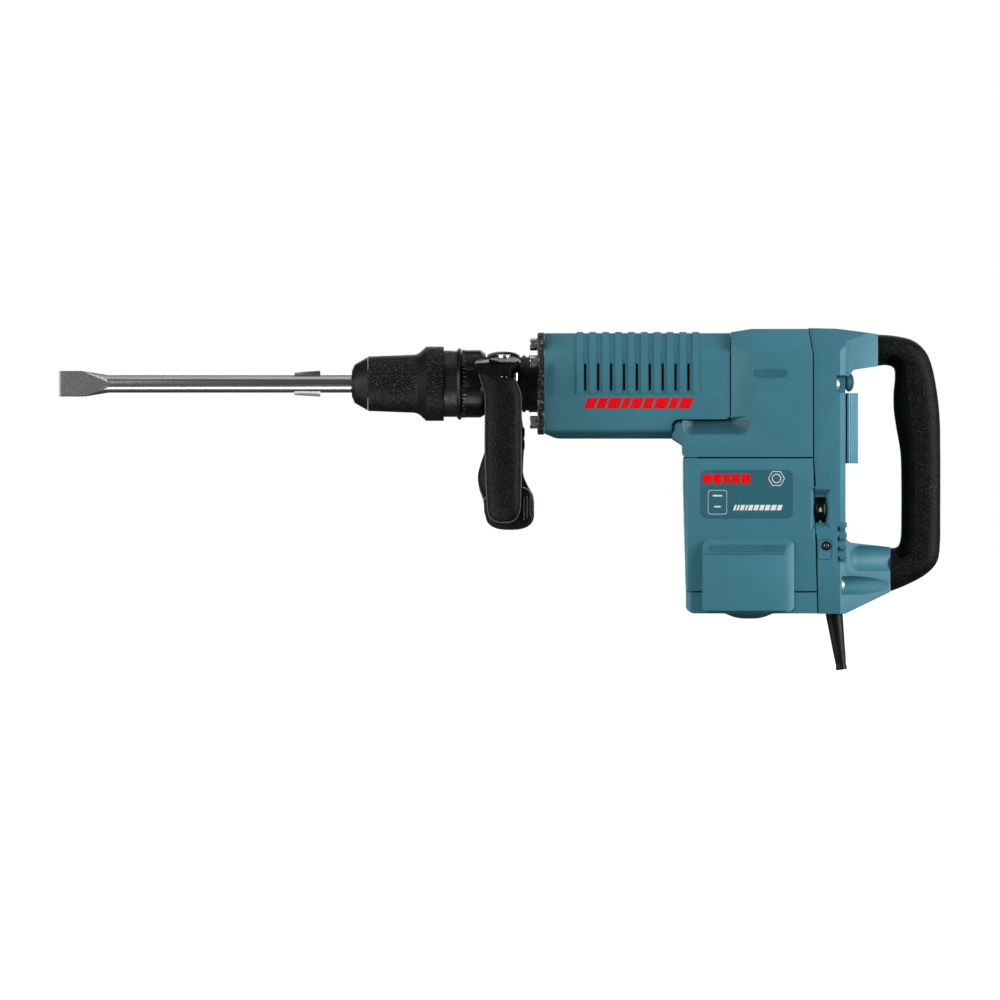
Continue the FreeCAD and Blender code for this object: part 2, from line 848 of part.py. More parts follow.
def socket_screw(label, radius, head_radius, head_high, reach, socket):
    """Socket-head screw along X, its head in front of the origin."""
    body = turned(label, [(f"-({head_high})", "0"), (f"-({head_high})", head_radius, "0.7"),
                          ("0", head_radius),
                          ("0", radius), (reach, radius), (reach, "0")])
    hexagon = [(f"({socket})*{math.cos(math.radians(a)):.6f}", f"({socket})*{math.sin(math.radians(a)):.6f}")
               for a in range(0, 360, 60)]
    pocket(body, "YZ_Plane", [hexagon], f"({head_high})*0.55", f"-({head_high})", back=True)
    return body


def flange_screws():
    screw = socket_screw("flange_screw", "screw_rad", "screw_head_rad", "screw_head_high", "screw_reach",
                         "screw_socket_half")
    return group("flange_screws", screw, [("flange_front", y, z, *NO_TURN) for y, z in screw_spots()])


def impact_bolt():
    return turned("impact_bolt", [
        ("bolt_front", "0"), ("bolt_front", "bolt_stem_rad", "1"), ("bolt_body_front", "bolt_stem_rad"),
        ("bolt_body_front", "bolt_chamber_rad-fit_gap*2", "1"),
        ("bolt_body_back", "bolt_chamber_rad-fit_gap*2", "1"),
        ("bolt_body_back", "damper_bore-hole_gap"), ("bolt_back", "damper_bore-hole_gap", "1.5"),
        ("bolt_back", "0"),
    ])


def damper_ring():
    return turned("damper_ring", box("damper_front", "damper_back", "damper_bore", "tube_bore-fit_gap"))


def hammer_tube():
    return turned("hammer_tube", box("tube_front+hole_gap", "tube_back", "tube_bore", "tube_rad"))


def seal_groove(body, station):
    """Cuts the groove of a seal ring round a piston."""
    groove = box(station, f"{station}+seal_groove_wide", "tube_bore-seal_groove_deep", "tube_bore+2")
    revolve(body, "XZ_Plane", [groove], kind="Groove")


def seal_ring(label, station):
    return turned(label, box(f"{station}+fit_gap", f"{station}+seal_groove_wide-fit_gap",
                             "tube_bore-seal_groove_deep+fit_gap", "tube_bore-fit_gap"))


def striker():
    body = turned("striker", [("striker_front", "0"), ("striker_front", "tube_bore-4", "1"),
                              ("striker_front+6", "tube_bore-fit_gap"),
                              ("striker_back", "tube_bore-fit_gap", "1"),
                              ("striker_back", "0")])
    seal_groove(body, "striker_back-12")
    return body


def piston():
    """Driving piston, slotted for the connecting rod and drilled for its pin."""
    body = turned("piston", box("piston_front", "piston_back", "0", "tube_bore-fit_gap"))
    seal_groove(body, "piston_front+5")
    slot = box("piston_slot_front", "piston_back+1", "-rod_half_thick-1", "rod_half_thick+1")
    pocket(body, "XZ_Plane", [slot], "piston_slot_side*2", both=True)
    pocket(body, "XY_Plane", [("circle", "wrist_station", "0", "wrist_rad+fit_gap")], "tube_bore*3",
           both=True)
    return body


def wrist_pin():
    return bar("wrist_pin", "XY_Plane", [("circle", "wrist_station", "0", "wrist_rad")], "wrist_half*2",
               both=True)


def connecting_rod():
    """Rod from the wrist pin to the crank pin, lying flat in the plane of the crank."""
    pin_station = "crank_station-crank_throw"
    body = new_body("connecting_rod")
    thick = "rod_half_thick*2"
    pad(body, "XY_Plane", [("circle", "wrist_station", "0", "rod_small_rad")], thick, both=True)
    pad(body, "XY_Plane", [("circle", pin_station, "0", "rod_eye_rad")], thick, both=True)
    pad(body, "XY_Plane", [box("wrist_station", pin_station, "-rod_shank_half", "rod_shank_half")],
        "rod_half_thick*1.4", both=True)
    holes = [("circle", "wrist_station", "0", "wrist_rad+fit_gap"),
             ("circle", pin_station, "0", "rod_eye_bore")]
    pocket(body, "XY_Plane", holes, "rod_half_thick*3", both=True)
    return body


# ---------------------------------------------------------------- gears and motor
def toothed_wheel(label, teeth, tip, root, start, low, high):
    """Involute spur gear about Z, its first tooth pointing at the start angle in degrees."""
    module, count = number("gear_module"), int(number(teeth))
    pitch_rad = module * count / 2
    pressure = math.radians(20)
    base_rad = pitch_rad * math.cos(pressure)
    backlash = 0.1
    half_tooth = (math.pi * module / 2 - backlash) / 2 / pitch_rad + math.tan(pressure) - pressure
    tip_rad, root_rad = number(tip), number(root)
    flank = [(root_rad, half_tooth)] if root_rad < base_rad else []
    first = max(base_rad, root_rad)
    for step in range(6):
        radius = first + (tip_rad - first) * step / 5
        roll = math.sqrt((radius / base_rad) ** 2 - 1)
        flank.append((radius, half_tooth - (roll - math.atan(roll))))
    outline = []
    for tooth in range(count):
        middle = math.radians(start) + 2 * math.pi * tooth / count
        for radius, angle in [(r, middle - a) for r, a in flank] + [(r, middle + a) for r, a in flank[::-1]]:
            outline.append(FreeCAD.Vector(radius * math.cos(angle), radius * math.sin(angle), number(low)))
    wheel = doc.addObject("Part::Feature", label)
    face = Part.Face(Part.makePolygon(outline + outline[:1]))
    wheel.Shape = face.extrude(FreeCAD.Vector(0, 0, number(high) - number(low)))
    return wheel


def crank_gear():
    """Gear, crankshaft, crank disc and crank pin in one forging, about an upright axis."""
    pitch_rad = "gear_module*gear_teeth/2"
    first_tooth = 180 / number("gear_teeth")
    wheel = toothed_wheel("crank_teeth", "gear_teeth", f"{pitch_rad}+gear_module*0.5",
                          f"{pitch_rad}-gear_module*1.25",
                          first_tooth, "gear_low", "gear_high")
    shaft = turned("crank_shaft", [
        ("0", "crank_shaft_low"), ("crank_shaft_rad", "crank_shaft_low"),
        ("crank_shaft_rad", "crank_disc_low"),
        ("crank_disc_rad", "crank_disc_low"), ("crank_disc_rad", "crank_disc_high"), ("0", "crank_disc_high"),
    ], upright=True)
    pin = bar("crank_pin", "XY_Plane", [("circle", "-crank_throw", "0", "crank_pin_rad")],
              "crank_pin_high-crank_disc_high+1", "crank_disc_high-1")
    return put(combine("MultiFuse", "crank_gear", shaft, [wheel, pin]), "crank_station")


def bearing(label, station, low, inner, outer, thick):
    """Plain ring standing in for a ball bearing, about an upright axis."""
    body = turned(label, box(inner, outer, low, f"{low}+{thick}"), upright=True)
    return put(body, station)


def armature():
    """Motor shaft with its pinion, laminated core, windings and commutator."""
    pitch_rad = "gear_module*pinion_teeth/2"
    pinion = toothed_wheel("armature_pinion", "pinion_teeth", f"{pitch_rad}+gear_module",
                           f"{pitch_rad}-gear_module*1.25",
                           180, "pinion_low", "pinion_high")
    shaft = turned("armature_shaft", [
        ("0", "shaft_low"), ("shaft_rad", "shaft_low"), ("shaft_rad", "commutator_low"),
        ("commutator_rad", "commutator_low"), ("commutator_rad", "commutator_high"),
        ("shaft_rad+2", "commutator_high"),
        ("shaft_rad+2", "winding_low"), ("winding_rad", "winding_low", "3"), ("winding_rad", "core_low"),
        ("core_rad", "core_low"), ("core_rad", "core_high"), ("winding_rad", "core_high"),
        ("winding_rad", "winding_high", "3"), ("shaft_rad", "winding_high"), ("shaft_rad", "pinion_low"),
        ("0", "pinion_low"),
    ], upright=True)
    return put(combine("MultiFuse", "armature", shaft, [pinion]), "motor_station")


def cooling_fan():
    """Radial fan on the motor shaft."""
    body = turned("cooling_fan", [
        ("shaft_rad+fit_gap", "fan_low"), ("shaft_rad+4", "fan_low"), ("shaft_rad+4", "fan_high-fan_plate"),
        ("fan_rad", "fan_high-fan_plate"), ("fan_rad", "fan_high"), ("shaft_rad+fit_gap", "fan_high"),
    ], upright=True)
    blade = pad(body, "XY_Plane", [box("shaft_rad+3", "fan_rad-1", "-fan_plate/2", "fan_plate/2")],
                "fan_high-fan_low-fan_plate+0.5", "fan_low")
    pattern(body, "PolarPattern", blade, "fan_blades", axis_of(body, "Z_Axis"), None)
    return put(body, "motor_station")


def stator():
    """Laminated field ring with flats at the sides."""
    outer = bar("stator_ring", "XY_Plane", [("circle", "0", "0", "stator_rad"),
                                            ("circle", "0", "0", "stator_bore")],
                "core_high-core_low", "core_low")
    flats = bar("stator_flats", "XY_Plane", [box("-stator_rad-1", "stator_rad+1", "-stator_flat",
                                                 "stator_flat")],
                "core_high-core_low", "core_low")
    return put(combine("Common", "stator", outer, [flats]), "motor_station")


def carbon_brush():
    """One brush, reaching out along +Y."""
    return bar("carbon_brush", "XZ_Plane",
               [box("-brush_half", "brush_half", "-brush_half_high", "brush_half_high")],
               "brush_out-brush_in", "-brush_out")


def brush_holder():
    outer = box("-brush_half-holder_wall", "brush_half+holder_wall", "-brush_half_high-holder_wall",
                "brush_half_high+holder_wall")
    inner = box("-brush_half-fit_gap", "brush_half+fit_gap", "-brush_half_high-fit_gap",
                "brush_half_high+fit_gap")
    return bar("brush_holder", "XZ_Plane", [outer, inner], "holder_out-holder_in", "-holder_out")


def on_both_sides(label, source):
    """A piece at the commutator's level, and its twin on the other side."""
    place = ("motor_station", "0", "brush_level")
    return group(label, source, [(*place, *NO_TURN), (*place, (0, 0, 1), 180)])


# ---------------------------------------------------------------- housings
def roof_section(top, half, edge_level, roof, low):
    """Cross-section in (y, z) with a flat roof, chamfered shoulders and straight sides, open to mirroring."""
    return mirrored_outline([(roof, top), (half, edge_level), (half, low)])


def common_prism(label, side, section=None, plan=None):
    """The solid that a side outline, a cross-section and a plan outline have in common."""
    solid = bar(label + "_side", "XZ_Plane", [side], "flange_half*4", both=True)
    if section:
        across = bar(label + "_section", "YZ_Plane", [section], "chisel_end*3")
        solid = combine("Common", label + "_block", solid, [across])
    if plan:
        above = bar(label + "_plan", "XY_Plane", [plan], "chisel_end*2", both=True)
        solid = combine("Common", label + "_mass", solid, [above])
    return solid



def barrel_housing():
    """Ribbed and vented cover round the percussion tube."""
    side = [("barrel_front", "barrel_top"), ("barrel_back", "barrel_top"),
            ("barrel_back", "step_level+seam_gap", "barrel_edge_round"),
            ("step_station", "step_level+seam_gap", "barrel_edge_round"),
            ("step_station", "barrel_low"), ("chin_station", "barrel_low", "chin_round"),
            ("barrel_front", "chin_level")]
    section = mirrored_outline([("roof_half", "barrel_top", "3"), ("barrel_half", "roof_edge", "4"),
                                ("barrel_half", "barrel_low_edge", "5"),
                                ("barrel_low_half", "barrel_low", "4")])
    shell = common_prism("barrel_shell", side, section)
    rib_outline = mirrored_outline([("roof_half+0.4", "barrel_top+rib_proud"),
                                    ("barrel_half+rib_proud", "roof_edge+0.5"),
                                    ("barrel_half+rib_proud", "rib_low")])
    ribs = new_body("barrel_ribs")
    rib = pad(ribs, "YZ_Plane", [rib_outline], "rib_wide", "rib_front")
    pattern(ribs, "LinearPattern", rib, "rib_count", axis_of(ribs, "X_Axis"), "rib_pitch")
    room_outline = mirrored_outline([("roof_half-wall_thick/2", "barrel_top-wall_thick"),
                                     ("barrel_half-wall_thick", "roof_edge-wall_thick/2"),
                                     ("barrel_half-wall_thick", "barrel_low_edge+wall_thick/2"),
                                     ("barrel_low_half-wall_thick/2", "barrel_low+wall_thick")])
    room = bar("barrel_room", "YZ_Plane", [room_outline], "barrel_back-barrel_front",
               "barrel_front+wall_thick")
    mouth = bar("barrel_mouth", "YZ_Plane", [("circle", "0", "0", "neck_foot_rad+hole_gap")], "wall_thick*2",
                "barrel_front-1")
    vents = new_body("barrel_vents")
    slot = box("vent_front", "vent_front+vent_wide", "vent_low", "vent_high")
    cut = pad(vents, "XZ_Plane", [slot], "barrel_half*3", both=True)
    pattern(vents, "LinearPattern", cut, "vent_count", axis_of(vents, "X_Axis"), "rib_pitch")
    holes = new_body("barrel_screw_holes")
    pad(holes, "YZ_Plane", [("circle", y, z, "screw_rad+hole_gap") for y, z in screw_spots()], "wall_thick*2",
        "barrel_front-1")
    whole = combine("MultiFuse", "barrel_outside", shell, [ribs])
    return subtract("barrel_housing", whole, [room, mouth, vents, holes])


def ledge_scoop(label, sign):
    """Cutter for the thumb-shaped hollow under the barrel, deepest beside it and fading out backwards."""
    body = new_body(label)
    mouth = [("body_front", "ledge_level", "ledge_round-3"), ("ledge_station", "ledge_level", "ledge_round"),
             ("ledge_station", "ledge_top", "ledge_round/2"), ("body_front", "ledge_top", "ledge_round/2")]
    floor = [("body_front+ledge_deep", "step_level-3", "1"), ("ledge_station-ledge_run", "step_level-3", "1"),
             ("ledge_station-ledge_run", "step_level", "1"), ("body_front+ledge_deep", "step_level", "1")]
    wide = draw(body, "XZ_Plane", [mouth], "crank_house_half+0.1" if sign == "-" else "-crank_house_half-0.1")
    deep_side = "crank_house_half-ledge_deep"
    deep = draw(body, "XZ_Plane", [floor], deep_side if sign == "-" else f"-({deep_side})")
    loft = body.newObject("PartDesign::AdditiveLoft", label + "_loft")
    loft.Profile = wide
    loft.Sections = [deep]
    loft.Ruled = True
    return body


def crank_housing():
    """Middle shell over the crank, a little wider than the barrel and open to the motor below."""
    side = [("barrel_back+seam_gap", "crank_house_top-3.3"), ("ledge_station", "crank_house_top"),
            ("rear_seam_top", "crank_house_top"), ("rear_seam_mid", "seam_bend_level"),
            ("rear_seam_mid+0.3", "crank_house_low"), ("body_front+3", "crank_house_low", "1"),
            ("body_front", "ledge_level-18", "1"), ("body_front", "ledge_level-10", "2"),
            ("crank_lip_front", "crank_lip_low"), ("crank_lip_front", "step_level", "barrel_edge_round-seam_gap"),
            ("barrel_back+seam_gap", "step_level", "barrel_edge_round+seam_gap")]
    section = mirrored_outline([("crank_roof_half", "crank_house_top", "4"),
                                ("crank_house_half", "crank_roof_edge", "4"),
                                ("crank_house_half", "crank_house_low-1")])
    half, front = "crank_house_half", "barrel_half+0.5"
    plan = [("crank_lip_front-1", "lip_half"), ("body_front", "lip_half"), ("body_front", half),
            ("rear_seam_low+1", half)]
    plan += [(x, f"-({y})") for x, y in plan[::-1]]
    mass = common_prism("crank_mass", side, section, plan)
    taper = new_body("crank_taper")
    for sign in ("", "-"):
        wedge = [("barrel_back", f"{sign}({front})"), ("ledge_station+2", f"{sign}({half})"),
                 ("ledge_station+2", f"{sign}({half}+5)"), ("barrel_back", f"{sign}({half}+5)")]
        pad(taper, "XY_Plane", [wedge], "crank_house_top*2", "step_level")
    upper_room = common_prism("crank_upper_room", [
        ("crank_lip_front-1", "crank_house_top"), ("rear_seam_low+1", "crank_house_top"),
        ("rear_seam_low+1", "crank_house_low-1"), ("body_front+wall_thick", "crank_house_low-1"),
        ("body_front+wall_thick", "ledge_level-9"),
        ("crank_lip_front+wall_thick", "crank_lip_low+wall_thick"),
        ("crank_lip_front-1", "crank_lip_low+wall_thick")],
        roof_section("barrel_top-wall_thick", "crank_room_half", "roof_edge", "roof_half-wall_thick/2",
                     "crank_house_low-2"))
    inside = "crank_house_half-wall_thick"
    low_room = bar("crank_low_room", "XZ_Plane", [box("body_front+wall_thick", "rear_seam_low+1",
                                                      "crank_house_low-1",
                                                      "ledge_level-wall_thick")], f"({inside})*2", both=True)
    back_room = bar("crank_back_room", "XZ_Plane",
                    [box("ledge_station+4", "rear_seam_low+1", "crank_house_low-1",
                                                        "crank_roof_edge-wall_thick")], f"({inside})*2",
                    both=True)
    return subtract("crank_housing", mass, [taper, upper_room, low_room, back_room,
                                            ledge_scoop("left_scoop", "-"),
                                            ledge_scoop("right_scoop", "")])


def tower_plan(half, front, back, corner_size):
    """Plan of the motor tower: a rectangle with its front corners cut off."""
    return [(back, f"-({half})"), (back, half), (f"{front}+{corner_size}", half),
            (front, f"{half}-({corner_size})"),
            (front, f"-({half})+{corner_size}"), (f"{front}+{corner_size}", f"-({half})")]


def seam_at(level):
    """Station of the rear housing's seam at a level below the crank housing."""
    return f"rear_seam_mid+0.3+(rear_seam_low-rear_seam_mid-0.3)*({level}-motor_high)/(cap_low-motor_high)"


def dial_flare(label):
    """Cutter for the scoop in the left side that lets a thumb reach the speed dial."""
    body = new_body(label)
    rise = "dial_rad+1"
    mouth = box("dial_front-flare_side", "dial_back+flare_side+2", f"dial_level-{rise}-flare_rise/3",
                f"dial_level+{rise}+flare_rise/3")
    floor = box("dial_front-0.7", "dial_back+0.7", f"dial_level-{rise}+flare_rise/2",
                f"dial_level+{rise}-flare_rise/2")
    wide = draw(body, "XZ_Plane", [mouth], "rear_half+1.2")
    deep = draw(body, "XZ_Plane", [floor], "rear_half-flare_deep")
    loft = body.newObject("PartDesign::AdditiveLoft", label + "_loft")
    loft.Profile = wide
    loft.Sections = [deep]
    loft.Ruled = True
    return body


def motor_housing():
    """Tube of the motor, slightly tapered downwards."""
    side = [("body_front+0.3", "motor_high"), (seam_at("motor_high"), "motor_high"),
            (seam_at("motor_low"), "motor_low"), ("motor_front_low", "motor_low")]
    shell = common_prism("motor_shell", side,
                         plan=tower_plan("motor_half", "body_front+1", "rear_seam_low+2", "front_corner/2"))
    room = bar("motor_room", "XY_Plane", [[
        ("motor_front_low+wall_thick", "-motor_half+wall_thick", "5"),
        ("rear_seam_mid-wall_thick", "-motor_half+wall_thick"),
        ("rear_seam_mid-wall_thick", "motor_half-wall_thick"),
        ("motor_front_low+wall_thick", "motor_half-wall_thick", "5")
    ]], "motor_high-motor_low+2", "motor_low-1")
    return subtract("motor_housing", shell, [room, dial_flare("motor_flare")])


def bottom_cap():
    """Lid under the motor, with a dome under the shaft's lower bearing."""
    side = [("motor_front_low+0.1", "cap_high"), (seam_at("cap_high"), "cap_high"),
            (seam_at("cap_low"), "cap_low"),
            ("motor_front_low+0.1", "cap_low", "cap_round")]
    shell = common_prism("cap_shell", side,
                         plan=tower_plan("motor_half", "motor_front_low", "rear_seam_low+2",
                                         "front_corner/2"))
    dome = put(turned("cap_dome", [("0", "cap_low+1"), ("dome_rad+1", "cap_low+1"), ("dome_rad+1", "cap_low"),
                                   ("dome_rad/2", "cap_low-dome_deep", "40"), ("0", "cap_low-dome_deep")],
                      upright=True), "motor_station")
    room = bar("cap_room", "XY_Plane", [[
        ("motor_front_low+cap_round", "-motor_half+wall_thick", "3"),
        ("rear_seam_mid-wall_thick", "-motor_half+wall_thick"),
        ("rear_seam_mid-wall_thick", "motor_half-wall_thick"),
        ("motor_front_low+cap_round", "motor_half-wall_thick", "3")
    ]], "cap_high-cap_low", "cap_low+wall_thick")
    seat = put(turned("cap_seat", box("low_bearing_rad+hole_gap", "low_bearing_rad+4", "cap_low+1",
                                      "low_bearing_low+bearing_thick"), upright=True), "motor_station")
    whole = combine("MultiFuse", "cap_outside", shell, [dome])
    return combine("MultiFuse", "bottom_cap", subtract("cap_hollow", whole, [room]), [seat])


def brush_cover(label, sign):
    """Removable cover over one carbon brush, standing proud of the motor housing."""
    inner, outer = "motor_half+seam_gap", "brush_cover_half"
    side = [("brush_cover_front", "brush_cover_low", "4"), ("brush_cover_back", "brush_cover_low", "6"),
            ("brush_cover_back", "brush_cover_high", "8"), ("brush_cover_front", "brush_cover_high", "8")]
    section = [(f"{sign}({inner})", "brush_cover_low"), (f"{sign}({outer}-1)", "brush_cover_low"),
               (f"{sign}{outer}", "brush_cover_low+1"),
               (f"{sign}{outer}", "brush_cover_high-brush_cover_slope"),
               (f"{sign}(motor_half+2)", "brush_cover_high"), (f"{sign}({inner})", "brush_cover_high")]
    plan = [("brush_cover_front", f"{sign}({inner})"), ("brush_cover_back", f"{sign}({inner})"),
            ("brush_cover_back", f"{sign}(motor_half+2)"),
            ("brush_cover_back-brush_cover_bevel", f"{sign}{outer}"), ("brush_cover_front", f"{sign}{outer}")]
    made = common_prism(label + "_solid", side, section, plan)
    groove = box("brush_cover_front-1", "brush_cover_back+1", "brush_cover_seam", "brush_cover_seam+seam_gap")
    cut = bar(label + "_seam", "XZ_Plane", [groove], "wall_thick", "brush_cover_half-wall_thick/2")
    if not sign:
        put(cut, y="brush_cover_half*2")
    return subtract(label, made, [cut])


def rear_outline():
    """Side outline of the rear housing with its two handle arms."""
    return [("rear_seam_top+seam_gap", "rear_top"), ("rear_back-8.5", "rear_top-0.6", "30"),
            ("arm_top_end", "arm_top_high", "1"), ("arm_top_end", "arm_top_low", "1"),
            ("rear_back+8", "arm_root_low", "6"), ("rear_back+4.5", "arm_root_low-6", "4"),
            ("rear_back", "arm_root_low-7"), ("rear_back", "arm_low_root", "8"),
            ("arm_low_end", "arm_low_high", "1"),
            ("arm_low_end", "arm_low_low", "1"), ("rear_back", "rear_low", "4"),
            ("rear_seam_low+seam_gap", "rear_low"),
            ("rear_seam_mid+0.3+seam_gap", "motor_high"), ("rear_seam_mid+seam_gap", "seam_bend_level")]


def housing_screw_spots():
    """Where the heads of the rear housing's screws rest."""
    middle = "(notch_high+notch_low)/2"
    return [("notch_front", "-rear_half+6.5", middle), ("notch_front", "rear_half-6.5", middle),
            ("channel_front", "-channel_side", "channel_level"),
            ("channel_front", "channel_side", "channel_level")]


def rear_housing():
    """Shell behind the motor. Its two arms carry the rear handle."""
    section = mirrored_outline([("crank_roof_half-4", "rear_top", "4"), ("rear_half", "crank_roof_edge", "4"),
                                ("rear_half", "rear_low-1")])
    chamfered = "rear_half-rear_chamfer"
    plan = [("rear_seam_top-1", "-rear_half"), ("rear_back-rear_chamfer", "-rear_half"),
            ("rear_back", f"-({chamfered})"),
            ("rear_back+0.5", "-arm_root_half"), ("arm_low_end+1", "-arm_end_half"),
            ("arm_low_end+1", "arm_end_half"), ("rear_back+0.5", "arm_root_half"), ("rear_back", chamfered),
            ("rear_back-rear_chamfer", "rear_half"), ("rear_seam_top-1", "rear_half")]
    mass = common_prism("rear_mass", rear_outline(), section, plan)
    room = bar("rear_room", "XZ_Plane", [[
        ("rear_seam_top-1", "rear_top-wall_thick*2"), ("rear_back-wall_thick", "rear_top-wall_thick*2"),
        ("rear_back-wall_thick", "rear_low+wall_thick"), ("rear_seam_top-1", "rear_low+wall_thick")]],
        "(roof_half-wall_thick)*2", both=True)
    wide_room = bar("rear_wide_room", "XZ_Plane", [box(
        "rear_seam_top-1", "notch_front-wall_thick", "rear_low+wall_thick", "seam_bend_level")],
        "(rear_half-wall_thick)*2", both=True)
    switch_hole = bar("rear_switch_hole", "XZ_Plane", [box(
        "rear_back-wall_thick-1", "rear_back+1", "rocker_low-1", "rocker_high+0.1")], "rocker_half*2+2",
                      both=True)
    boss = bar("rear_dial_boss", "XZ_Plane", [box(
        "rear_seam_top-2", "dial_back+flare_side+5", "dial_level-dial_rad-9", "dial_level+dial_rad+9")],
        "rear_half", "rear_half-flare_deep-wall_thick")
    cutters = [room, subtract("rear_wide_hollow", wide_room, [boss]), switch_hole]
    slot = bar("rear_dial_slot", "YZ_Plane", [("circle", "0", "0", "dial_rad+dial_slot_gap")],
               "dial_back-dial_front+dial_slot_gap*2", "dial_front-dial_slot_gap")
    cutters.append(put(slot, "0", "dial_side", "dial_level"))
    cutters.append(dial_flare("rear_flare"))
    cutters.append(bar("rear_lamp_hole", "XZ_Plane",
                       [("circle", "lamp_station", "lamp_level", "lamp_rad+fit_gap")],
                       "rear_half", "rear_half/2"))
    cutters.append(put(bar("rear_cord_hole", "XY_Plane",
                           [("circle", "0", "0", "cord_sleeve_top_rad+hole_gap")],
                           "wall_thick*3", "cord_sleeve_top-1"), "cord_sleeve_station"))
    notch = box("notch_front", "rear_back+1", "notch_low", "notch_high")
    for name, sign in (("left", "-"), ("right", "")):
        side = bar(f"rear_notch_{name}", "XZ_Plane", [notch], "rear_half", "0")
        cutters.append(put(side, y=f"{sign}notch_side" if sign else "notch_side+rear_half"))
        inward = "" if sign else "-"
        channel = turned(f"rear_channel_{name}", [("0", "0"), ("0", "channel_rad"),
                                                  ("channel_long", "channel_rad"), ("channel_long", "0")])
        turn(channel, (0, 0, 1), f"{inward}channel_turn")
        cutters.append(put(channel, "channel_front", f"{sign}channel_side", "channel_level"))
        mouth = bar(f"rear_channel_mouth_{name}", "XZ_Plane", [
            [(x, z, "2") for x, z in box("channel_front", "rear_back+1", "channel_level-channel_rad",
                                         "channel_level+channel_rad")]], "rear_half", "0")
        cutters.append(put(mouth, y=f"{sign}channel_side" if sign else "channel_side+rear_half"))
        scoop = turned(f"rear_scoop_{name}", [("0", "0"), ("0", "scoop_rad", "scoop_rad-1"),
                                              ("scoop_long", "scoop_rad"), ("scoop_long", "0")])
        turn(scoop, (0, 0, 1), f"{inward}scoop_turn")
        cutters.append(put(scoop, "scoop_front", f"{sign}scoop_side", "scoop_level"))
    for x, y, z in housing_screw_spots():
        hole = bar("rear_screw_hole", "YZ_Plane", [("circle", "0", "0", "housing_screw_rad+fit_gap")], "8",
                   "-4")
        cutters.append(put(hole, x, y, z))
    louvres = new_body("rear_louvres")
    slot = box("louvre_front", "rear_back+1", "louvre_high-louvre_tall", "louvre_high")
    cut = pad(louvres, "XZ_Plane", [slot], "rear_half*3", both=True)
    row = pattern(louvres, "LinearPattern", cut, "louvre_count", axis_of(louvres, "Z_Axis"), "louvre_pitch")
    row.Reversed = True
    middle = box("louvre_front-1", "rear_back+2", "louvre_high-60", "louvre_high+10")
    pocket(louvres, "XZ_Plane", [middle], "(rear_half-louvre_deep)*2", both=True)
    cutters.append(louvres)
    return subtract("rear_housing", mass, cutters)


def gear_case():
    """Aluminium casting inside the housings: front plate, tube seat, crank room and bearing floor."""
    plate_outline = mirrored_outline([("roof_half-4", "case_plate_top"), ("case_plate_side", "roof_edge-4"),
                                      ("case_plate_side", "barrel_low_edge+3"),
                                      ("barrel_low_half-4", "case_plate_low")])
    plate = bar("case_plate", "YZ_Plane", [plate_outline], "case_plate_back-neck_foot_back-fit_gap",
                "neck_foot_back+fit_gap")
    seat = bar("case_seat", "YZ_Plane", [("circle", "0", "0", "case_tube_rad")],
               "case_front-case_plate_back+2",
               "case_plate_back-1")
    side = [("case_front", "case_top"), ("case_back", "case_top"), ("case_back", "case_low"),
            ("case_step", "case_low"), ("case_step", "case_step_level"), ("case_front", "case_step_level")]
    section = mirrored_outline([("case_half-18", "case_top"), ("case_half", "case_top-18"),
                                ("case_half", "case_low")])
    whole = combine("MultiFuse", "case_outside", common_prism("case_box", side, section), [plate, seat])
    room_side = box("case_front+case_wall", "case_back-case_wall", "crank_disc_low-1", "case_top-18")
    room = bar("case_room", "XZ_Plane", [room_side], "(case_half-case_wall)*2", both=True)
    gear_room = put(bar("case_gear_room", "XY_Plane", [("circle", "0", "0", "case_half-case_wall")],
                        "crank_disc_low-case_floor", "case_floor"), "crank_station")
    pinion_room = put(bar("case_pinion_room", "XY_Plane", [("circle", "0", "0", "shaft_rad+4")],
                          "crank_disc_low-case_floor", "case_floor"), "motor_station")
    corners = new_body("case_low_corners")
    for sign in ("", "-"):
        wedge = [(f"{sign}(case_half+1)", "case_step_level-1"),
                 (f"{sign}(barrel_low_half-4)", "case_step_level-1"),
                 (f"{sign}(case_half+1)", "barrel_low_edge+1")]
        pad(corners, "YZ_Plane", [wedge], "step_station-case_front+3", "case_front-1")
    mouth_side = box("case_front+case_wall", "case_back-case_wall", "crank_disc_low-1", "case_top+1")
    mouth = bar("case_mouth", "XZ_Plane", [mouth_side], "(case_half-case_wall-18)*2", both=True)
    bore = bar("case_bore", "YZ_Plane", [("circle", "0", "0", "tube_rad+fit_gap")],
               "tube_back-neck_foot_back+2",
               "neck_foot_back-1")
    holes = new_body("case_screw_holes")
    pad(holes, "YZ_Plane", [("circle", y, z, "screw_rad+fit_gap") for y, z in screw_spots()], "wall_thick*6",
        "neck_foot_back-1")
    crank_seat = put(bar("case_crank_seat", "XY_Plane", [("circle", "0", "0", "crank_bearing_rad+fit_gap")],
                         "case_floor-crank_shaft_low+2", "crank_shaft_low-1"), "crank_station")
    shaft_hole = put(bar("case_shaft_hole", "XY_Plane", [("circle", "0", "0", "shaft_rad+2")],
                         "case_floor-case_low+2", "case_low-1"), "motor_station")
    motor_seat = put(bar("case_motor_seat", "XY_Plane", [("circle", "0", "0", "top_bearing_rad+fit_gap")],
                         "top_bearing_high-case_low+1", "case_low-1"), "motor_station")
    return subtract("gear_case", whole, [room, gear_room, pinion_room, corners, mouth, bore, holes,
                                         crank_seat,
                                         shaft_hole, motor_seat])


def cover_screw_spots():
    """The four corners of the gear case cover."""
    return [(x, y) for x in ("case_front+6", "case_back-6") for y in ("case_half-23", "23-case_half")]


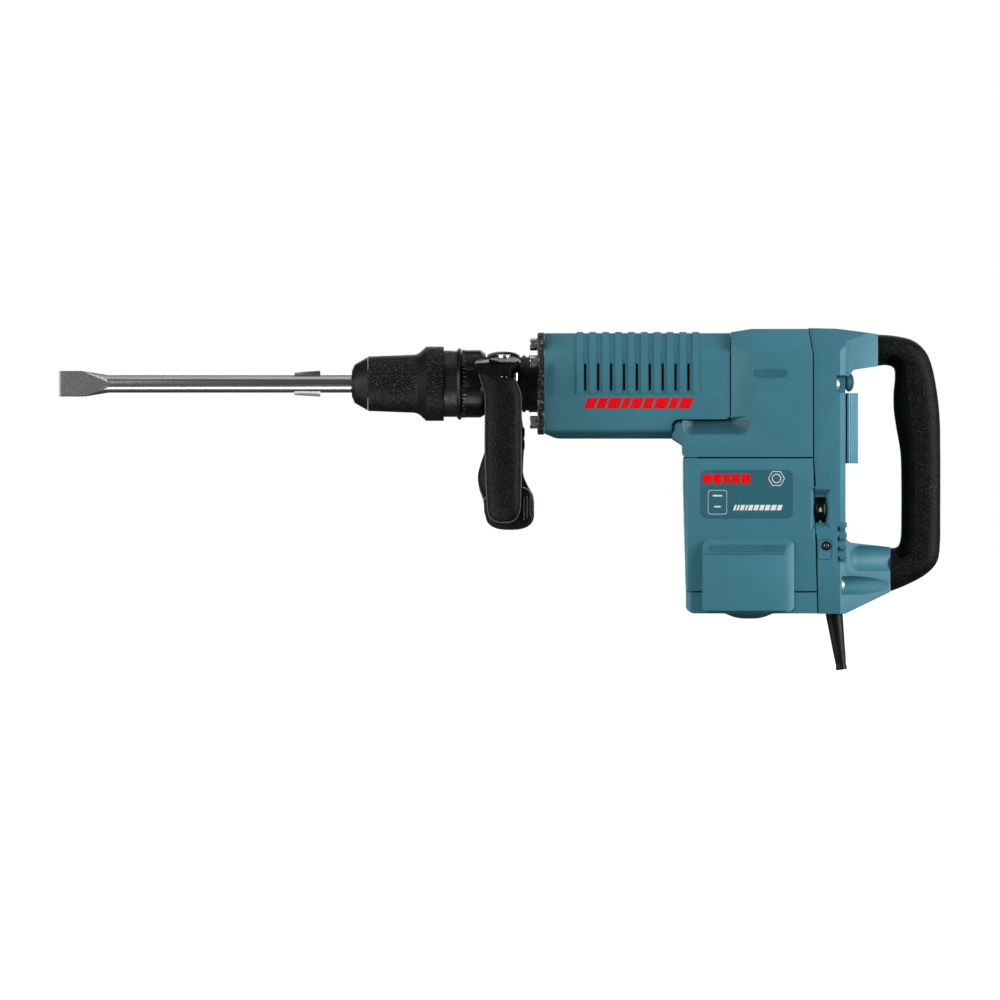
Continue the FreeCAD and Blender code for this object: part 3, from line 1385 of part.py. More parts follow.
def gear_case_cover():
    """Flat lid over the crank room."""
    lid = box("case_front+0.5", "case_back-0.5", "-case_half+18.5", "case_half-18.5")
    holes = [("circle", x, y, "housing_screw_rad+hole_gap") for x, y in cover_screw_spots()]
    return bar("gear_case_cover", "XY_Plane", [lid, *holes], "cover_thick", "case_top+fit_gap")


def small_screw(label, reach):
    """Pan-head screw along Z, its head above the origin and its tip below."""
    return turned(label, [("0", "2.8"), ("housing_screw_head-1.5", "2.8"), ("housing_screw_head", "0.6"),
                          ("housing_screw_head", "0"), ("housing_screw_rad", "0"),
                          ("housing_screw_rad", f"-({reach})"),
                          ("0", f"-({reach})")], upright=True)


def gear_cover_screws():
    screw = small_screw("gear_cover_screw", "cover_thick-fit_gap")
    return group("gear_cover_screws", screw,
                 [(x, y, "case_top+cover_thick+fit_gap*2", *NO_TURN) for x, y in cover_screw_spots()])


def housing_screws():
    """Screws through the rear housing, in its side notches and low channels."""
    screw = small_screw("housing_screw", "2.4")
    return group("housing_screws", screw, [(f"{x}+fit_gap", y, z, (0, 1, 0), 90) for x, y,
                                           z in housing_screw_spots()])


def brush_springs():
    """Pressure blocks of the brush springs, behind the carbon brushes."""
    spring = bar("brush_spring", "XZ_Plane", [("circle", "0", "0", "brush_half-0.2")],
                 "holder_out-brush_out-0.6",
                 "-holder_out+0.3")
    return on_both_sides("brush_springs", spring)


# ---------------------------------------------------------------- rear handle and controls
def rear_handle():
    """Grip that joins the two arms of the rear housing."""
    back = [("arm_top_end+0.3", "arm_top_high"), ("handle_back-36.5", "arm_top_high-3", "20"),
            ("handle_back-13.5", "arm_top_high-13.5", "20"), ("handle_back-3", "handle_swell", "90"),
            ("handle_back", "handle_swell-42", "90"), ("handle_back", "handle_foot", "8"),
            ("handle_back-13.5", "handle_foot-21", "20"), ("arm_low_end+4.5", "arm_low_low+1.5", "20"),
            ("arm_low_end+0.3", "arm_low_low")]
    front = [("arm_low_end+0.3", "arm_low_high-0.4"), ("handle_front", "arm_low_high-2", "4"),
             ("handle_front", "handle_swell-88", "60"), ("handle_front-1", "handle_swell-62", "60"),
             ("handle_front-8", "handle_swell-22", "40"), ("handle_front-6", "arm_top_low-3.6", "5"),
             ("handle_front-10", "arm_top_low+1", "3"), ("arm_top_end+0.3", "arm_top_low+0.4")]
    wide = "handle_half+2.5"
    section = mirrored_outline([(wide, "arm_top_high+1"), (wide, "arm_top_low+5", "30"),
                                ("handle_half", "0", "60"), ("handle_half", "arm_low_high+12", "60"),
                                (wide, "arm_low_high-3", "30"), (wide, "arm_low_low-1")])
    made = common_prism("rear_grip", back + front, section)
    made.Label = "rear_handle"
    return made


def rocker_switch():
    """On and off rocker, a ribbed sector about its upright axis. It tips left and right."""
    body = new_body("rocker_switch")
    pad(body, "XY_Plane", [("circle", "0", "0", "rocker_rad")], "rocker_high-rocker_low-2", "rocker_low+1")
    rib = pocket(body, "XY_Plane", [("circle", "rocker_rad+0.5", "0", "1.1")], "rocker_rad*10", both=True)
    pattern(body, "PolarPattern", rib, "rocker_ribs", axis_of(body, "Z_Axis"), None)
    inside = "rocker_front-rocker_axis"
    for low, high in (("-rocker_rad-1", "-rocker_stem_half"), ("rocker_stem_half", "rocker_rad+1")):
        pocket(body, "XY_Plane", [box("-rocker_rad-1", inside, low, high)], "rocker_rad*10", both=True)
    pocket(body, "XY_Plane", [box("-rocker_rad-1", "-3", "-rocker_rad-1", "rocker_rad+1")], "rocker_rad*10",
           both=True)
    return put(turn(body, (0, 0, 1), "rocker_rest"), "rocker_axis")


def speed_dial():
    """Thumbwheel about an axis along X, its rim rounded."""
    rim = turned("speed_dial", [
        ("dial_front", "0"), ("dial_front", "dial_rad-0.8"), ("dial_front+1.6", "dial_rad", "0.8"),
        ("dial_back-1.6", "dial_rad", "0.8"), ("dial_back", "dial_rad-0.8"), ("dial_back", "dial_stub_rad"),
        ("dial_back+4", "dial_stub_rad"), ("dial_back+4", "0")])
    return put(rim, "0", "dial_side", "dial_level")


def speed_module():
    """Electronics block that the dial turns against."""
    return bar("speed_module", "XZ_Plane", [box("rear_seam_low+3", "rear_back-8", "dial_level-dial_rad-34",
                                                "dial_level-dial_rad-4")], "module_wide", both=True)


def switch_block():
    return bar("switch_block", "XZ_Plane", [box("rear_seam_low+3", "rocker_axis-4", "rocker_low+6",
                                                "rocker_high-6")],
               "switch_wide", both=True)


def service_lamp():
    """Small round lens of the service light, on the left side."""
    return bar("service_lamp", "XZ_Plane", [("circle", "lamp_station", "lamp_level", "lamp_rad")],
               "lamp_deep",
               "rear_half-lamp_deep+0.6")


def strain_relief():
    """Tapered rubber sleeve where the cord would leave."""
    body = turned("strain_relief", [
        ("cord_bore", "4"), ("cord_sleeve_top_rad-0.6", "4"), ("cord_sleeve_top_rad-0.6", "-2"),
        ("cord_sleeve_top_rad", "-4"), ("cord_sleeve_end_rad", "-cord_sleeve_long", "0.7"),
        ("cord_bore", "-cord_sleeve_long"),
    ], upright=True)
    return put(turn(body, (0, 1, 0), "-cord_sleeve_tilt"), "cord_sleeve_station", "0", "cord_sleeve_top")


def cord_clamp():
    """Bridge that would hold the cord inside the rear housing."""
    return bar("cord_clamp", "XZ_Plane", [box("cord_sleeve_station-9", "cord_sleeve_station+5",
                                              "rear_low+10", "rear_low+17")],
               "cord_clamp_wide", both=True)


# ---------------------------------------------------------------- front handle
def front_handle_frame():
    """Clamp ring round the neck, the spine below it, and the end block that carries the grip."""
    ring = bar("hand_ring", "YZ_Plane", [("circle", "0", "0", "hand_ring_rad")],
               "hand_ring_back-hand_ring_front",
               "hand_ring_front")
    spine = bar("hand_spine", "YZ_Plane", [[
        ("-spine_half", "spine_high"), ("spine_half", "spine_high"), ("spine_half", "hand_low+22.5", "22"),
        ("-spine_half+9", "hand_low", "10"), ("grip_side_in-12", "hand_low", "8"),
        ("grip_side_in-12", "hand_low+30", "4"), ("grip_side_in+4", "hand_gap_low", "4"),
        ("-spine_half", "hand_gap_low", "14")]], "cup_back-cup_front+20", "cup_front-10")
    profile = bar("hand_profile", "XZ_Plane", [[
        ("hand_ring_front", "0"), ("hand_ring_front", "cup_high", "6"), ("cup_front", "cup_high-10", "6"),
        ("cup_front", "cup_high-30", "20"), ("cup_front+6.5", "hand_low+12.5", "12"),
        ("cup_front+20", "hand_low", "10"),
        ("cup_back-12.3", "hand_low", "10"), ("cup_back", "hand_low+12.5", "5"), ("cup_back", "cup_lip", "5"),
        ("hand_ring_back", "cup_lip+12", "8"), ("hand_ring_back", "0")]], "flange_half*5", both=True)
    lower = combine("Common", "hand_lower", spine, [profile])
    block_side = [("block_front", "block_high-9.5", "1.5"), ("hand_ring_front+1", "block_high", "5"),
                  ("hand_ring_back", "block_high", "2"), ("hand_ring_back", "grip_top+0.3"),
                  ("block_front+7", "grip_top+0.3", "2")]
    block = bar("hand_block", "XZ_Plane", [block_side], "-grip_side_out-block_behind", "block_behind")
    whole = combine("MultiFuse", "hand_solid", ring, [lower, block])
    neck = bar("hand_neck_hole", "YZ_Plane", [("circle", "0", "0", "journal_rad+hand_bore_gap")],
               "hand_ring_back-hand_ring_front+30", "hand_ring_front-15")
    ring_room = bar("hand_ring_room", "YZ_Plane", [("circle", "0", "0", "angle_ridge_rad+2")],
                    "hand_ring_front-block_front+1", "block_front-1.3")
    bolt = bar("hand_bolt_hole", "XY_Plane", [("circle", "0", "0", "clamp_bolt_rad+fit_gap")],
               "block_high+clamp_bolt_low", "-clamp_bolt_low/2")
    head = bar("hand_bolt_head_hole", "XY_Plane", [("circle", "0", "0", "clamp_seat_rad")],
               "clamp_seat_deep*2",
               "block_high-clamp_seat_deep")
    for hole in (bolt, head):
        put(hole, "clamp_bolt_station", "clamp_bolt_side")
    slit_side = box("hand_ring_front-15", "hand_ring_back+1", "grip_top+10", "grip_top+10+clamp_slit")
    slit = bar("hand_slit", "XZ_Plane", [slit_side], "-grip_side_in-journal_rad+4", "journal_rad-4")
    socket = front_grip_solid("hand_socket", "0.15")
    return subtract("front_handle_frame", whole, [neck, ring_room, bolt, head, slit, socket])


def front_grip_solid(label, gap):
    """The grip's outer form, grown by a gap."""
    front, back = "grip_front", "grip_back"
    top, low = f"grip_top+{gap}*1.5", f"grip_low-{gap}"
    side = [(f"{front}-3-{gap}", top), (f"{front}-3-{gap}", "grip_waist+48", "20"),
            (f"{front}+2-{gap}", "grip_waist", "40"), (f"{front}+4-{gap}", low, "12"),
            (f"{back}-3+{gap}", low, "12"), (f"{back}-1+{gap}", "grip_waist", "40"), (f"{back}+1+{gap}", top)]
    corners = [(f"{front}-4-{gap}", f"grip_side_out-{gap}"), (f"{back}+2+{gap}", f"grip_side_out-{gap}"),
               (f"{back}+2+{gap}", f"grip_side_in+{gap}"), (f"{front}-4-{gap}", f"grip_side_in+{gap}")]
    plan = [(x, y, "grip_round") for x, y in corners]
    return common_prism(label, side, plan=plan)


def front_handle_grip():
    made = front_grip_solid("front_grip", "0")
    made.Label = "front_handle_grip"
    return made


def front_handle_bolt():
    """Clamp bolt down through the block, threaded into the nut."""
    seat = "block_high-clamp_seat_deep+0.1"
    body = turned("front_handle_bolt", [
        ("0", "block_high"), ("clamp_head_rad", "block_high", "1.2"), ("clamp_head_rad", seat),
        ("clamp_bolt_rad", seat), ("clamp_bolt_rad", "-clamp_bolt_low"), ("0", "-clamp_bolt_low")],
                  upright=True)
    return put(body, "clamp_bolt_station", "clamp_bolt_side")


def front_handle_nut():
    """Nut that loosens the front handle."""
    body = turned("front_handle_nut", [
        ("clamp_bolt_rad+fit_gap", "grip_top"), ("clamp_nut_rad", "grip_top", "0.8"),
        ("clamp_nut_rad", "-clamp_nut_low", "0.8"), ("clamp_bolt_rad+fit_gap", "-clamp_nut_low")],
                  upright=True)
    return put(body, "clamp_bolt_station", "clamp_bolt_side")


# ---------------------------------------------------------------- the assembly
PIECES = [
    flat_chisel(), dust_cap(), tool_spindle(), locking_roller("locking_roller_upper", "roller_level"),
    locking_roller("locking_roller_lower", "-roller_level"), locking_sleeve(), lock_spring(), angle_ring(),
    neck_housing(), front_flange(), flange_screws(),
    impact_bolt(), damper_ring(), hammer_tube(), striker(), seal_ring("striker_ring", "striker_back-12"),
    piston(), seal_ring("piston_ring", "piston_front+5"), wrist_pin(), connecting_rod(), crank_gear(),
    bearing("crank_bearing_upper", "crank_station", "crank_bearing_high-bearing_thick",
            "crank_shaft_rad+fit_gap",
            "crank_bearing_rad", "bearing_thick"),
    bearing("crank_bearing_lower", "crank_station", "crank_shaft_low", "crank_shaft_rad+fit_gap",
            "crank_bearing_rad", "bearing_thick"),
    gear_case(), gear_case_cover(), gear_cover_screws(),
    armature(), cooling_fan(), stator(), on_both_sides("carbon_brushes", carbon_brush()),
    on_both_sides("brush_holders", brush_holder()), brush_springs(),
    bearing("motor_bearing_upper", "motor_station", "top_bearing_high-top_bearing_thick", "shaft_rad+fit_gap",
            "top_bearing_rad", "top_bearing_thick"),
    bearing("motor_bearing_lower", "motor_station", "low_bearing_low", "shaft_rad+fit_gap", "low_bearing_rad",
            "bearing_thick"),
    barrel_housing(), crank_housing(), motor_housing(), bottom_cap(), brush_cover("brush_cover_left", "-"),
    brush_cover("brush_cover_right", ""), rear_housing(), housing_screws(),
    rear_handle(), rocker_switch(), switch_block(), speed_dial(), speed_module(), service_lamp(),
    strain_relief(),
    cord_clamp(),
    front_handle_frame(), front_handle_grip(), front_handle_bolt(), front_handle_nut(),
]
doc.recompute()

for thing in doc.Objects:
    if "Invalid" in thing.State or "Error" in thing.State:
        raise RuntimeError(f"{thing.Label} failed: {thing.State}")
for piece in PIECES:
    if piece.Shape.isNull() or not piece.Shape.isValid() or not piece.Shape.Solids:
        raise RuntimeError(f"{piece.Label} has no valid solid")

os.makedirs("parts", exist_ok=True)
for piece in PIECES:
    piece.Shape.exportStep(f"parts/{piece.Label}.step")
print(len(PIECES), "pieces written")
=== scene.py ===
"""Looks of an electric demolition hammer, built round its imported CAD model.

Frame: the origin is the middle of the chisel's cutting edge, +X runs back to the rear handle, +Z is up and -Y
is the operator's left. Lengths are in metres, and MM turns millimetres into them.
"""

import json
import math

import bmesh
import bpy
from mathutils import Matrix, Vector
from mathutils.bvhtree import BVHTree


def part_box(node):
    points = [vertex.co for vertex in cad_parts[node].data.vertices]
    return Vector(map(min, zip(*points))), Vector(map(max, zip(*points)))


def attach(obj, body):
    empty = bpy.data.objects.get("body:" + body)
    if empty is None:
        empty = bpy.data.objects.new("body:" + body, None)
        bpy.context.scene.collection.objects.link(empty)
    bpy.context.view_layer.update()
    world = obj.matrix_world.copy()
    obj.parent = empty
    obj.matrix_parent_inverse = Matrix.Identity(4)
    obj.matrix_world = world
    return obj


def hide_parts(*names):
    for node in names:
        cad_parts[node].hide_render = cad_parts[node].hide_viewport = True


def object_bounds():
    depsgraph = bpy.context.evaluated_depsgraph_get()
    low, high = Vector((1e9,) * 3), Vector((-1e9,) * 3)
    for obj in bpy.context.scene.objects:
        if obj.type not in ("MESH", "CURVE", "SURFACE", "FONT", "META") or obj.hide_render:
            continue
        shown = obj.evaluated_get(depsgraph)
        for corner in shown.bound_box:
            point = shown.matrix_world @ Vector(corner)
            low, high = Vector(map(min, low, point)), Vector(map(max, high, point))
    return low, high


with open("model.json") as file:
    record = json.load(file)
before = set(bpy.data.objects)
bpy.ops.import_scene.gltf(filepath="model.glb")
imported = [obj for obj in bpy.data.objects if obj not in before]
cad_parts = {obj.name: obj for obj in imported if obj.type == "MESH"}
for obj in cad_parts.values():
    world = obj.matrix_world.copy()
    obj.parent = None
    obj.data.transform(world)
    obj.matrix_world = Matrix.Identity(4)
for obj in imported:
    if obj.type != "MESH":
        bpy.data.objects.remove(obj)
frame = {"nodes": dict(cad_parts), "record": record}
cad_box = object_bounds()
NODES = frame["nodes"]
MM = 0.001


def at(x, y, z):
    """A point given in millimetres."""
    return Vector((x, y, z)) * MM


def linear(red, green, blue):
    """A linear colour from screen values of 0 to 255."""
    def one(value):
        value /= 255
        return value / 12.92 if value <= 0.04045 else ((value + 0.055) / 1.055) ** 2.4
    return (one(red), one(green), one(blue), 1.0)


# ---------------- materials
class Paint:
    """A Principled material and the few nodes that its surface detail is made of."""

    def __init__(self, name, colour, roughness, metallic=0.0, **sockets):
        self.material = bpy.data.materials.new(name)
        self.material.use_nodes = True
        self.tree = self.material.node_tree
        self.shader = self.tree.nodes["Principled BSDF"]
        self.shader.inputs["Base Color"].default_value = colour
        self.shader.inputs["Roughness"].default_value = roughness
        self.shader.inputs["Metallic"].default_value = metallic
        for socket, value in sockets.items():
            self.shader.inputs[socket.replace("_", " ")].default_value = value
        self.place = self.node("ShaderNodeTexCoord").outputs["Object"]
        self.normal = None

    def node(self, kind, **inputs):
        made = self.tree.nodes.new(kind)
        for name, value in inputs.items():
            made.inputs[name.replace("_", " ")].default_value = value
        return made

    def link(self, start, end):
        self.tree.links.new(start, end)

    def noise(self, scale, detail=2.0):
        made = self.node("ShaderNodeTexNoise", Scale=scale, Detail=detail)
        self.link(self.place, made.inputs["Vector"])
        return made.outputs["Fac"]

    def drawn_noise(self, detail, scales):
        """Noise with a scale of its own along each axis."""
        mapping = self.node("ShaderNodeMapping", Scale=scales)
        self.link(self.place, mapping.inputs["Vector"])
        made = self.node("ShaderNodeTexNoise", Scale=1.0, Detail=detail)
        self.link(mapping.outputs["Vector"], made.inputs["Vector"])
        return made.outputs["Fac"]

    def cells(self, scale):
        made = self.node("ShaderNodeTexVoronoi", Scale=scale)
        self.link(self.place, made.inputs["Vector"])
        return made.outputs["Distance"]

    def axis(self, name):
        """The object's own coordinate along one axis."""
        split = self.node("ShaderNodeSeparateXYZ")
        self.link(self.place, split.inputs["Vector"])
        return split.outputs[name]

    def calculate(self, operation, *terms):
        """One sum on sockets and plain numbers."""
        made = self.node("ShaderNodeMath")
        made.operation = operation
        for socket, term in zip(made.inputs, terms):
            if isinstance(term, (int, float)):
                socket.default_value = term
            else:
                self.link(term, socket)
        return made.outputs["Value"]

    def band(self, axis, middle, half):
        """1 within a half width of a place along one of the object's axes, and 0 elsewhere."""
        return self.calculate("COMPARE", self.axis(axis), middle, half)

    def ramp(self, source, low, high, start=0.35, end=0.65):
        """Maps a texture onto a range of numbers."""
        made = self.node("ShaderNodeMapRange")
        for socket, value in (("From Min", start), ("From Max", end), ("To Min", low), ("To Max", high)):
            made.inputs[socket].default_value = value
        self.link(source, made.inputs["Value"])
        return made.outputs["Result"]

    def vary_colour(self, source, colour, start=0.35, end=0.65):
        """Mixes a second colour in where a texture is high."""
        mix = self.node("ShaderNodeMix")
        mix.data_type = "RGBA"
        first = self.shader.inputs["Base Color"]
        if first.is_linked:
            self.link(first.links[0].from_socket, mix.inputs["A"])
        else:
            mix.inputs["A"].default_value = first.default_value
        mix.inputs["B"].default_value = colour
        self.link(self.ramp(source, 0, 1, start, end), mix.inputs["Factor"])
        self.link(mix.outputs["Result"], first)

    def vary_roughness(self, source, low, high):
        self.link(self.ramp(source, low, high), self.shader.inputs["Roughness"])

    def bump(self, source, height, strength=1.0):
        """Adds a layer of relief, its height in metres."""
        made = self.node("ShaderNodeBump", Strength=strength, Distance=height)
        self.link(source, made.inputs["Height"])
        if self.normal:
            self.link(self.normal, made.inputs["Normal"])
        self.normal = made.outputs["Normal"]
        self.link(self.normal, self.shader.inputs["Normal"])


def shade(colour, factor):
    """A colour made darker or lighter."""
    return (*[channel * factor for channel in colour[:3]], 1.0)


TEAL = linear(59, 118, 134)
BLACK = linear(6, 7, 8)


def textured_plastic(name, colour, roughness=0.5):
    """Moulded housing with a fine spark-eroded grain and a slight mottle."""
    paint = Paint(name, colour, roughness, Specular_IOR_Level=0.3)
    paint.vary_colour(paint.noise(38, 3), shade(colour, 0.93))
    paint.vary_colour(paint.noise(1400, 1), shade(colour, 1.12), 0.5, 0.75)
    paint.vary_roughness(paint.noise(900, 2), roughness - 0.08, roughness + 0.1)
    paint.bump(paint.noise(1700, 2), 0.00006, 0.55)
    return paint


def grained_black(name, grain, height, glint, roughness=0.5, share=0.56):
    """Black rubber with a coarse grain: pale flecks over a share of it, set by where the flecks start; the
    flecks are painted glints on the grain.
    """
    paint = Paint(name, BLACK, roughness, Specular_IOR_Level=0.09)
    # pale flecks: painted glints on the grain
    paint.vary_colour(paint.noise(grain, 3), linear(glint, glint + 5, glint + 6), share, share + 0.07)
    paint.vary_roughness(paint.noise(grain * 0.5, 2), roughness - 0.08, roughness + 0.16)
    paint.bump(paint.cells(grain), height, 0.8)
    return paint


def sleeve_rubber(smooth_bands):
    """Rubber flecked with painted glints, with smooth bands, each given by its middle and half width along
    the tool.
    """
    paint = grained_black("speckled_sleeve", 1250, 0.0002, 92, 0.42, 0.57)
    for middle, half in smooth_bands:
        paint.vary_colour(paint.band("X", middle * MM, half * MM), linear(15, 18, 20), 0, 1)
    return paint


def smooth_black(name, roughness=0.35, base=BLACK, gloss=0.2):
    paint = Paint(name, base, roughness, Specular_IOR_Level=gloss)
    paint.vary_roughness(paint.noise(70, 3), roughness - 0.05, roughness + 0.1)
    paint.bump(paint.noise(500, 2), 0.00003, 0.4)
    return paint


def brushed_metal(name, colour, roughness, stretch, strength=0.35, dark=0.6):
    """Bare metal with tool marks drawn out along one axis."""
    paint = Paint(name, colour, roughness, 1.0)
    marks = paint.drawn_noise(4, stretch)
    paint.vary_colour(marks, shade(colour, dark), 0.45, 0.8)
    paint.vary_roughness(paint.noise(30, 4), roughness - 0.07, roughness + 0.13)
    paint.bump(marks, 0.00004, strength)
    return paint


def cast_metal(name, colour, roughness=0.5, metallic=1.0, grain=260):
    paint = Paint(name, colour, roughness, metallic)
    paint.vary_colour(paint.noise(60, 3), shade(colour, 0.75))
    paint.vary_roughness(paint.noise(200, 2), roughness - 0.1, roughness + 0.15)
    paint.bump(paint.noise(grain, 3), 0.00015, 0.5)
    return paint


def mottled_casting():
    """Dark casting, pale in flecks."""
    paint = cast_metal("dark_flange", linear(34, 36, 38), 0.4, 0.3, 500)
    paint.vary_colour(paint.noise(520, 3), linear(132, 134, 132), 0.55, 0.68)
    return paint


def forged_steel():
    """Chisel steel: a ground shank, and a duller blade that runs into it in a point behind a ground edge,
    whose pale colour is a painted highlight.
    """
    paint = Paint("chisel_steel", linear(156, 157, 157), 0.28, 1.0)
    marks = paint.drawn_noise(3, (12, 700, 700))
    paint.vary_colour(marks, linear(140, 141, 141), 0.45, 0.8)
    paint.bump(marks, 0.00001, 0.02)
    point, slope, ground_edge_highlight = 53.2 * MM, 2.3, 1.6 * MM
    rise = paint.calculate("MULTIPLY", paint.calculate("ABSOLUTE", paint.axis("Z")), slope)
    forged = paint.ramp(paint.calculate("ADD", paint.axis("X"), rise), 1, 0, point - 1.2 * MM, point)
    paint.vary_colour(forged, linear(88, 89, 91), 0, 1)
    scratches = paint.calculate("MULTIPLY", forged, paint.drawn_noise(2, (1500, 1500, 260)))
    paint.vary_colour(scratches, linear(66, 67, 69), 0.45, 0.65)
    # ground edge: pale and barely metallic, a painted highlight along the edge
    paint.vary_colour(paint.band("X", 0, ground_edge_highlight), linear(168, 169, 170), 0, 1)
    paint.link(paint.ramp(forged, 1, 0.1, 0, 1), paint.shader.inputs["Metallic"])
    worn = paint.ramp(paint.drawn_noise(2, (8, 300, 300)), 0.23, 0.27)
    dull = paint.ramp(forged, 0, 0.6, 0, 1)
    paint.link(paint.calculate("MAXIMUM", worn, dull), paint.shader.inputs["Roughness"])
    return paint


def hollowed_plastic(name, surface, spans, colour):
    """Housing plastic with painted shade: darker where it is sunk below its side face inside a box of
    stations and levels.
    """
    paint = textured_plastic(name, TEAL)
    side = paint.calculate("ABSOLUTE", paint.axis("Y"))
    full, none = surface - 1.8, surface - 0.08
    sunk = paint.ramp(side, 1, 0, full * MM, none * MM)
    for axis, low, high in spans:
        within = paint.band(axis, (low + high) / 2 * MM, (high - low) / 2 * MM)
        sunk = paint.calculate("MULTIPLY", sunk, within)
    # painted shade: the sunk faces get the darker colour
    paint.vary_colour(sunk, colour, 0, 1)
    return paint


def boot_plastic():
    """Soft boot, pale on the housing's side and dark on its outer side."""
    paint = textured_plastic("rocker_boot", linear(104, 152, 172))
    border = 791.6
    paint.vary_colour(paint.axis("X"), linear(36, 80, 92), border * MM, (border + 0.8) * MM)
    return paint


def copper_winding():
    paint = Paint("copper_winding", linear(176, 92, 48), 0.35, 1.0)
    bands = paint.node("ShaderNodeTexWave", Scale=420.0)
    bands.bands_direction = "Z"
    paint.link(paint.place, bands.inputs["Vector"])
    paint.bump(bands.outputs["Fac"], 0.0004, 0.6)
    return paint


MATERIALS = {
    "teal": textured_plastic("teal_housing", TEAL),
    # crank housing teal with painted shade in the scoop under the barrel
    "teal_crank_painted_shade": hollowed_plastic("teal_crank_painted_shade", 57, [("X", 625, 697), ("Z", -54, -36.5)],
                                   linear(42, 88, 100)),
    # lighter teal of the knurl tops: painted highlight
    "teal_knurl_highlight": textured_plastic("teal_knurl_highlight", linear(78, 138, 156)),
    # darker teal of the knurl beds: painted shade
    "teal_bed_shade": textured_plastic("teal_bed_shade", linear(44, 98, 112), 0.55),
    "teal_shade": textured_plastic("teal_shade", linear(26, 70, 80), 0.55),
    "teal_label": textured_plastic("teal_label", linear(48, 100, 114), 0.34),
    "boot": boot_plastic(),
    # lighter teal than the housing: painted light on the rocker switch
    "rocker": textured_plastic("teal_rocker_lit", linear(86, 145, 167), 0.42),
    "grip": grained_black("black_grip", 1300, 0.00016, 62, 0.5, 0.58),
    "sleeve": sleeve_rubber([(301, 8.4), (363.6, 4.6), (400, 14.6)]),
    "rubber": smooth_black("smooth_rubber", 0.45),
    "plastic": smooth_black("black_plastic", 0.3),
    "casting": cast_metal("black_casting", linear(12, 13, 14), 0.42, 0.3),
    "flange": mottled_casting(),
    "chisel": forged_steel(),
    "steel": brushed_metal("dark_steel", linear(120, 121, 122), 0.3, (400, 400, 30)),
    "plated": brushed_metal("plated_steel", linear(214, 213, 208), 0.2, (700, 60, 60), 0.2, 0.8),
    "zinc": cast_metal("zinc_screw", linear(212, 212, 208), 0.34, 0.4),
    "aluminium": cast_metal("cast_aluminium", linear(178, 180, 182)),
    "copper": copper_winding(),
    "dial": smooth_black("dial_black", 0.3),
    "facet": smooth_black("grip_facet", 0.5, linear(4, 5, 6), 0.06),
    "frame": grained_black("frame_plastic", 1000, 0.00015, 44, 0.4, 0.6),
    "rim_dark": smooth_black("socket_rib", 0.4, linear(58, 62, 66)),
    # pale grey of the grip's bead: painted highlight
    "rim": smooth_black("grip_rim", 0.5, linear(88, 94, 96)),
    "grey_mark": cast_metal("grey_mark", linear(150, 152, 154), 0.4),
    "white": Paint("white_mark", linear(232, 234, 232), 0.4),
    "red": Paint("red_mark", linear(229, 14, 16), 0.45, Specular_IOR_Level=0.2),
    "lens": Paint("lamp_lens", linear(70, 34, 38), 0.12, Coat_Weight=1.0),
    "inner": smooth_black("inner_plastic", 0.5, linear(48, 49, 52)),
}
for mark, grain_scale in (("white", 800), ("red", 800), ("lens", 300)):
    paint = MATERIALS[mark]
    paint.bump(paint.noise(grain_scale, 2), 0.00002, 0.3)
    paint.vary_roughness(paint.noise(grain_scale / 3, 2), 0.2, 0.45)

NODE_MATERIALS = {
    "teal": ["barrel_housing", "motor_housing", "bottom_cap", "brush_cover_left", "brush_cover_right",
             "rear_housing"],
    "teal_crank_painted_shade": ["crank_housing"],
    "zinc": ["housing_screws"],
    "rocker": ["rocker_switch"],
    "grip": ["rear_handle", "front_handle_grip"],
    "sleeve": ["locking_sleeve"],
    "rubber": ["dust_cap", "strain_relief", "damper_ring", "striker_ring", "piston_ring"],
    "plastic": ["angle_ring", "front_handle_frame"],
    "casting": ["neck_housing"],
    "flange": ["front_flange", "gear_case"],
    "chisel": ["flat_chisel"],
    "steel": ["tool_spindle", "locking_roller_upper", "locking_roller_lower", "impact_bolt", "hammer_tube",
              "striker", "wrist_pin", "crank_gear", "stator"],
    "plated": ["lock_spring", "flange_screws", "gear_cover_screws",
               "crank_bearing_upper", "crank_bearing_lower", "motor_bearing_upper", "motor_bearing_lower",
               "brush_holders", "brush_springs", "front_handle_bolt", "front_handle_nut"],
    "aluminium": ["piston", "connecting_rod", "gear_case_cover"],
    "copper": ["armature"],
    "dial": ["speed_dial"],
    "lens": ["service_lamp"],
    "inner": ["cooling_fan", "carbon_brushes", "switch_block", "speed_module", "cord_clamp"],
}


def dress(thing, name):
    """Gives an object one of the materials."""
    thing.data.materials.clear()
    thing.data.materials.append(MATERIALS[name].material)


for material_name, members in NODE_MATERIALS.items():
    for member in members:
        dress(NODES[member], material_name)


def soften(thing, width, segments=3, angle=32):
    """Rounds the sharp edges of a shown CAD node with modifiers, and smooths its curved faces."""
    weld = thing.modifiers.new("weld", "WELD")
    weld.merge_threshold = 2e-6
    bevel = thing.modifiers.new("edges", "BEVEL")
    bevel.width = width
    bevel.segments = segments
    bevel.limit_method = "ANGLE"
    bevel.angle_limit = math.radians(angle)
    for polygon in thing.data.polygons:
        polygon.use_smooth = True
    smooth = thing.modifiers.new("shading", "EDGE_SPLIT")
    smooth.split_angle = math.radians(angle)


EDGE_WIDTHS = {
    "barrel_housing": 0.5, "crank_housing": 1.4, "motor_housing": 1.0, "bottom_cap": 1.6,
    "brush_cover_left": 1.2, "brush_cover_right": 1.2, "rear_housing": 1.0, "rocker_switch": 0.8,
    "front_flange": 0.5, "flange_screws": 0.3, "flat_chisel": 0.3, "front_handle_frame": 1.0,
    "angle_ring": 0.4, "locking_sleeve": 0.4, "speed_dial": 0.4,
}
for node_name, node_width in EDGE_WIDTHS.items():
    soften(NODES[node_name], node_width * MM)


# ---------------- mesh helpers
# body and slot of most pieces
COVER = ("machine", "teal_cover")
TRIM = ("machine", "black_plastic")
HANDLE = ("front_handle", "black_plastic")


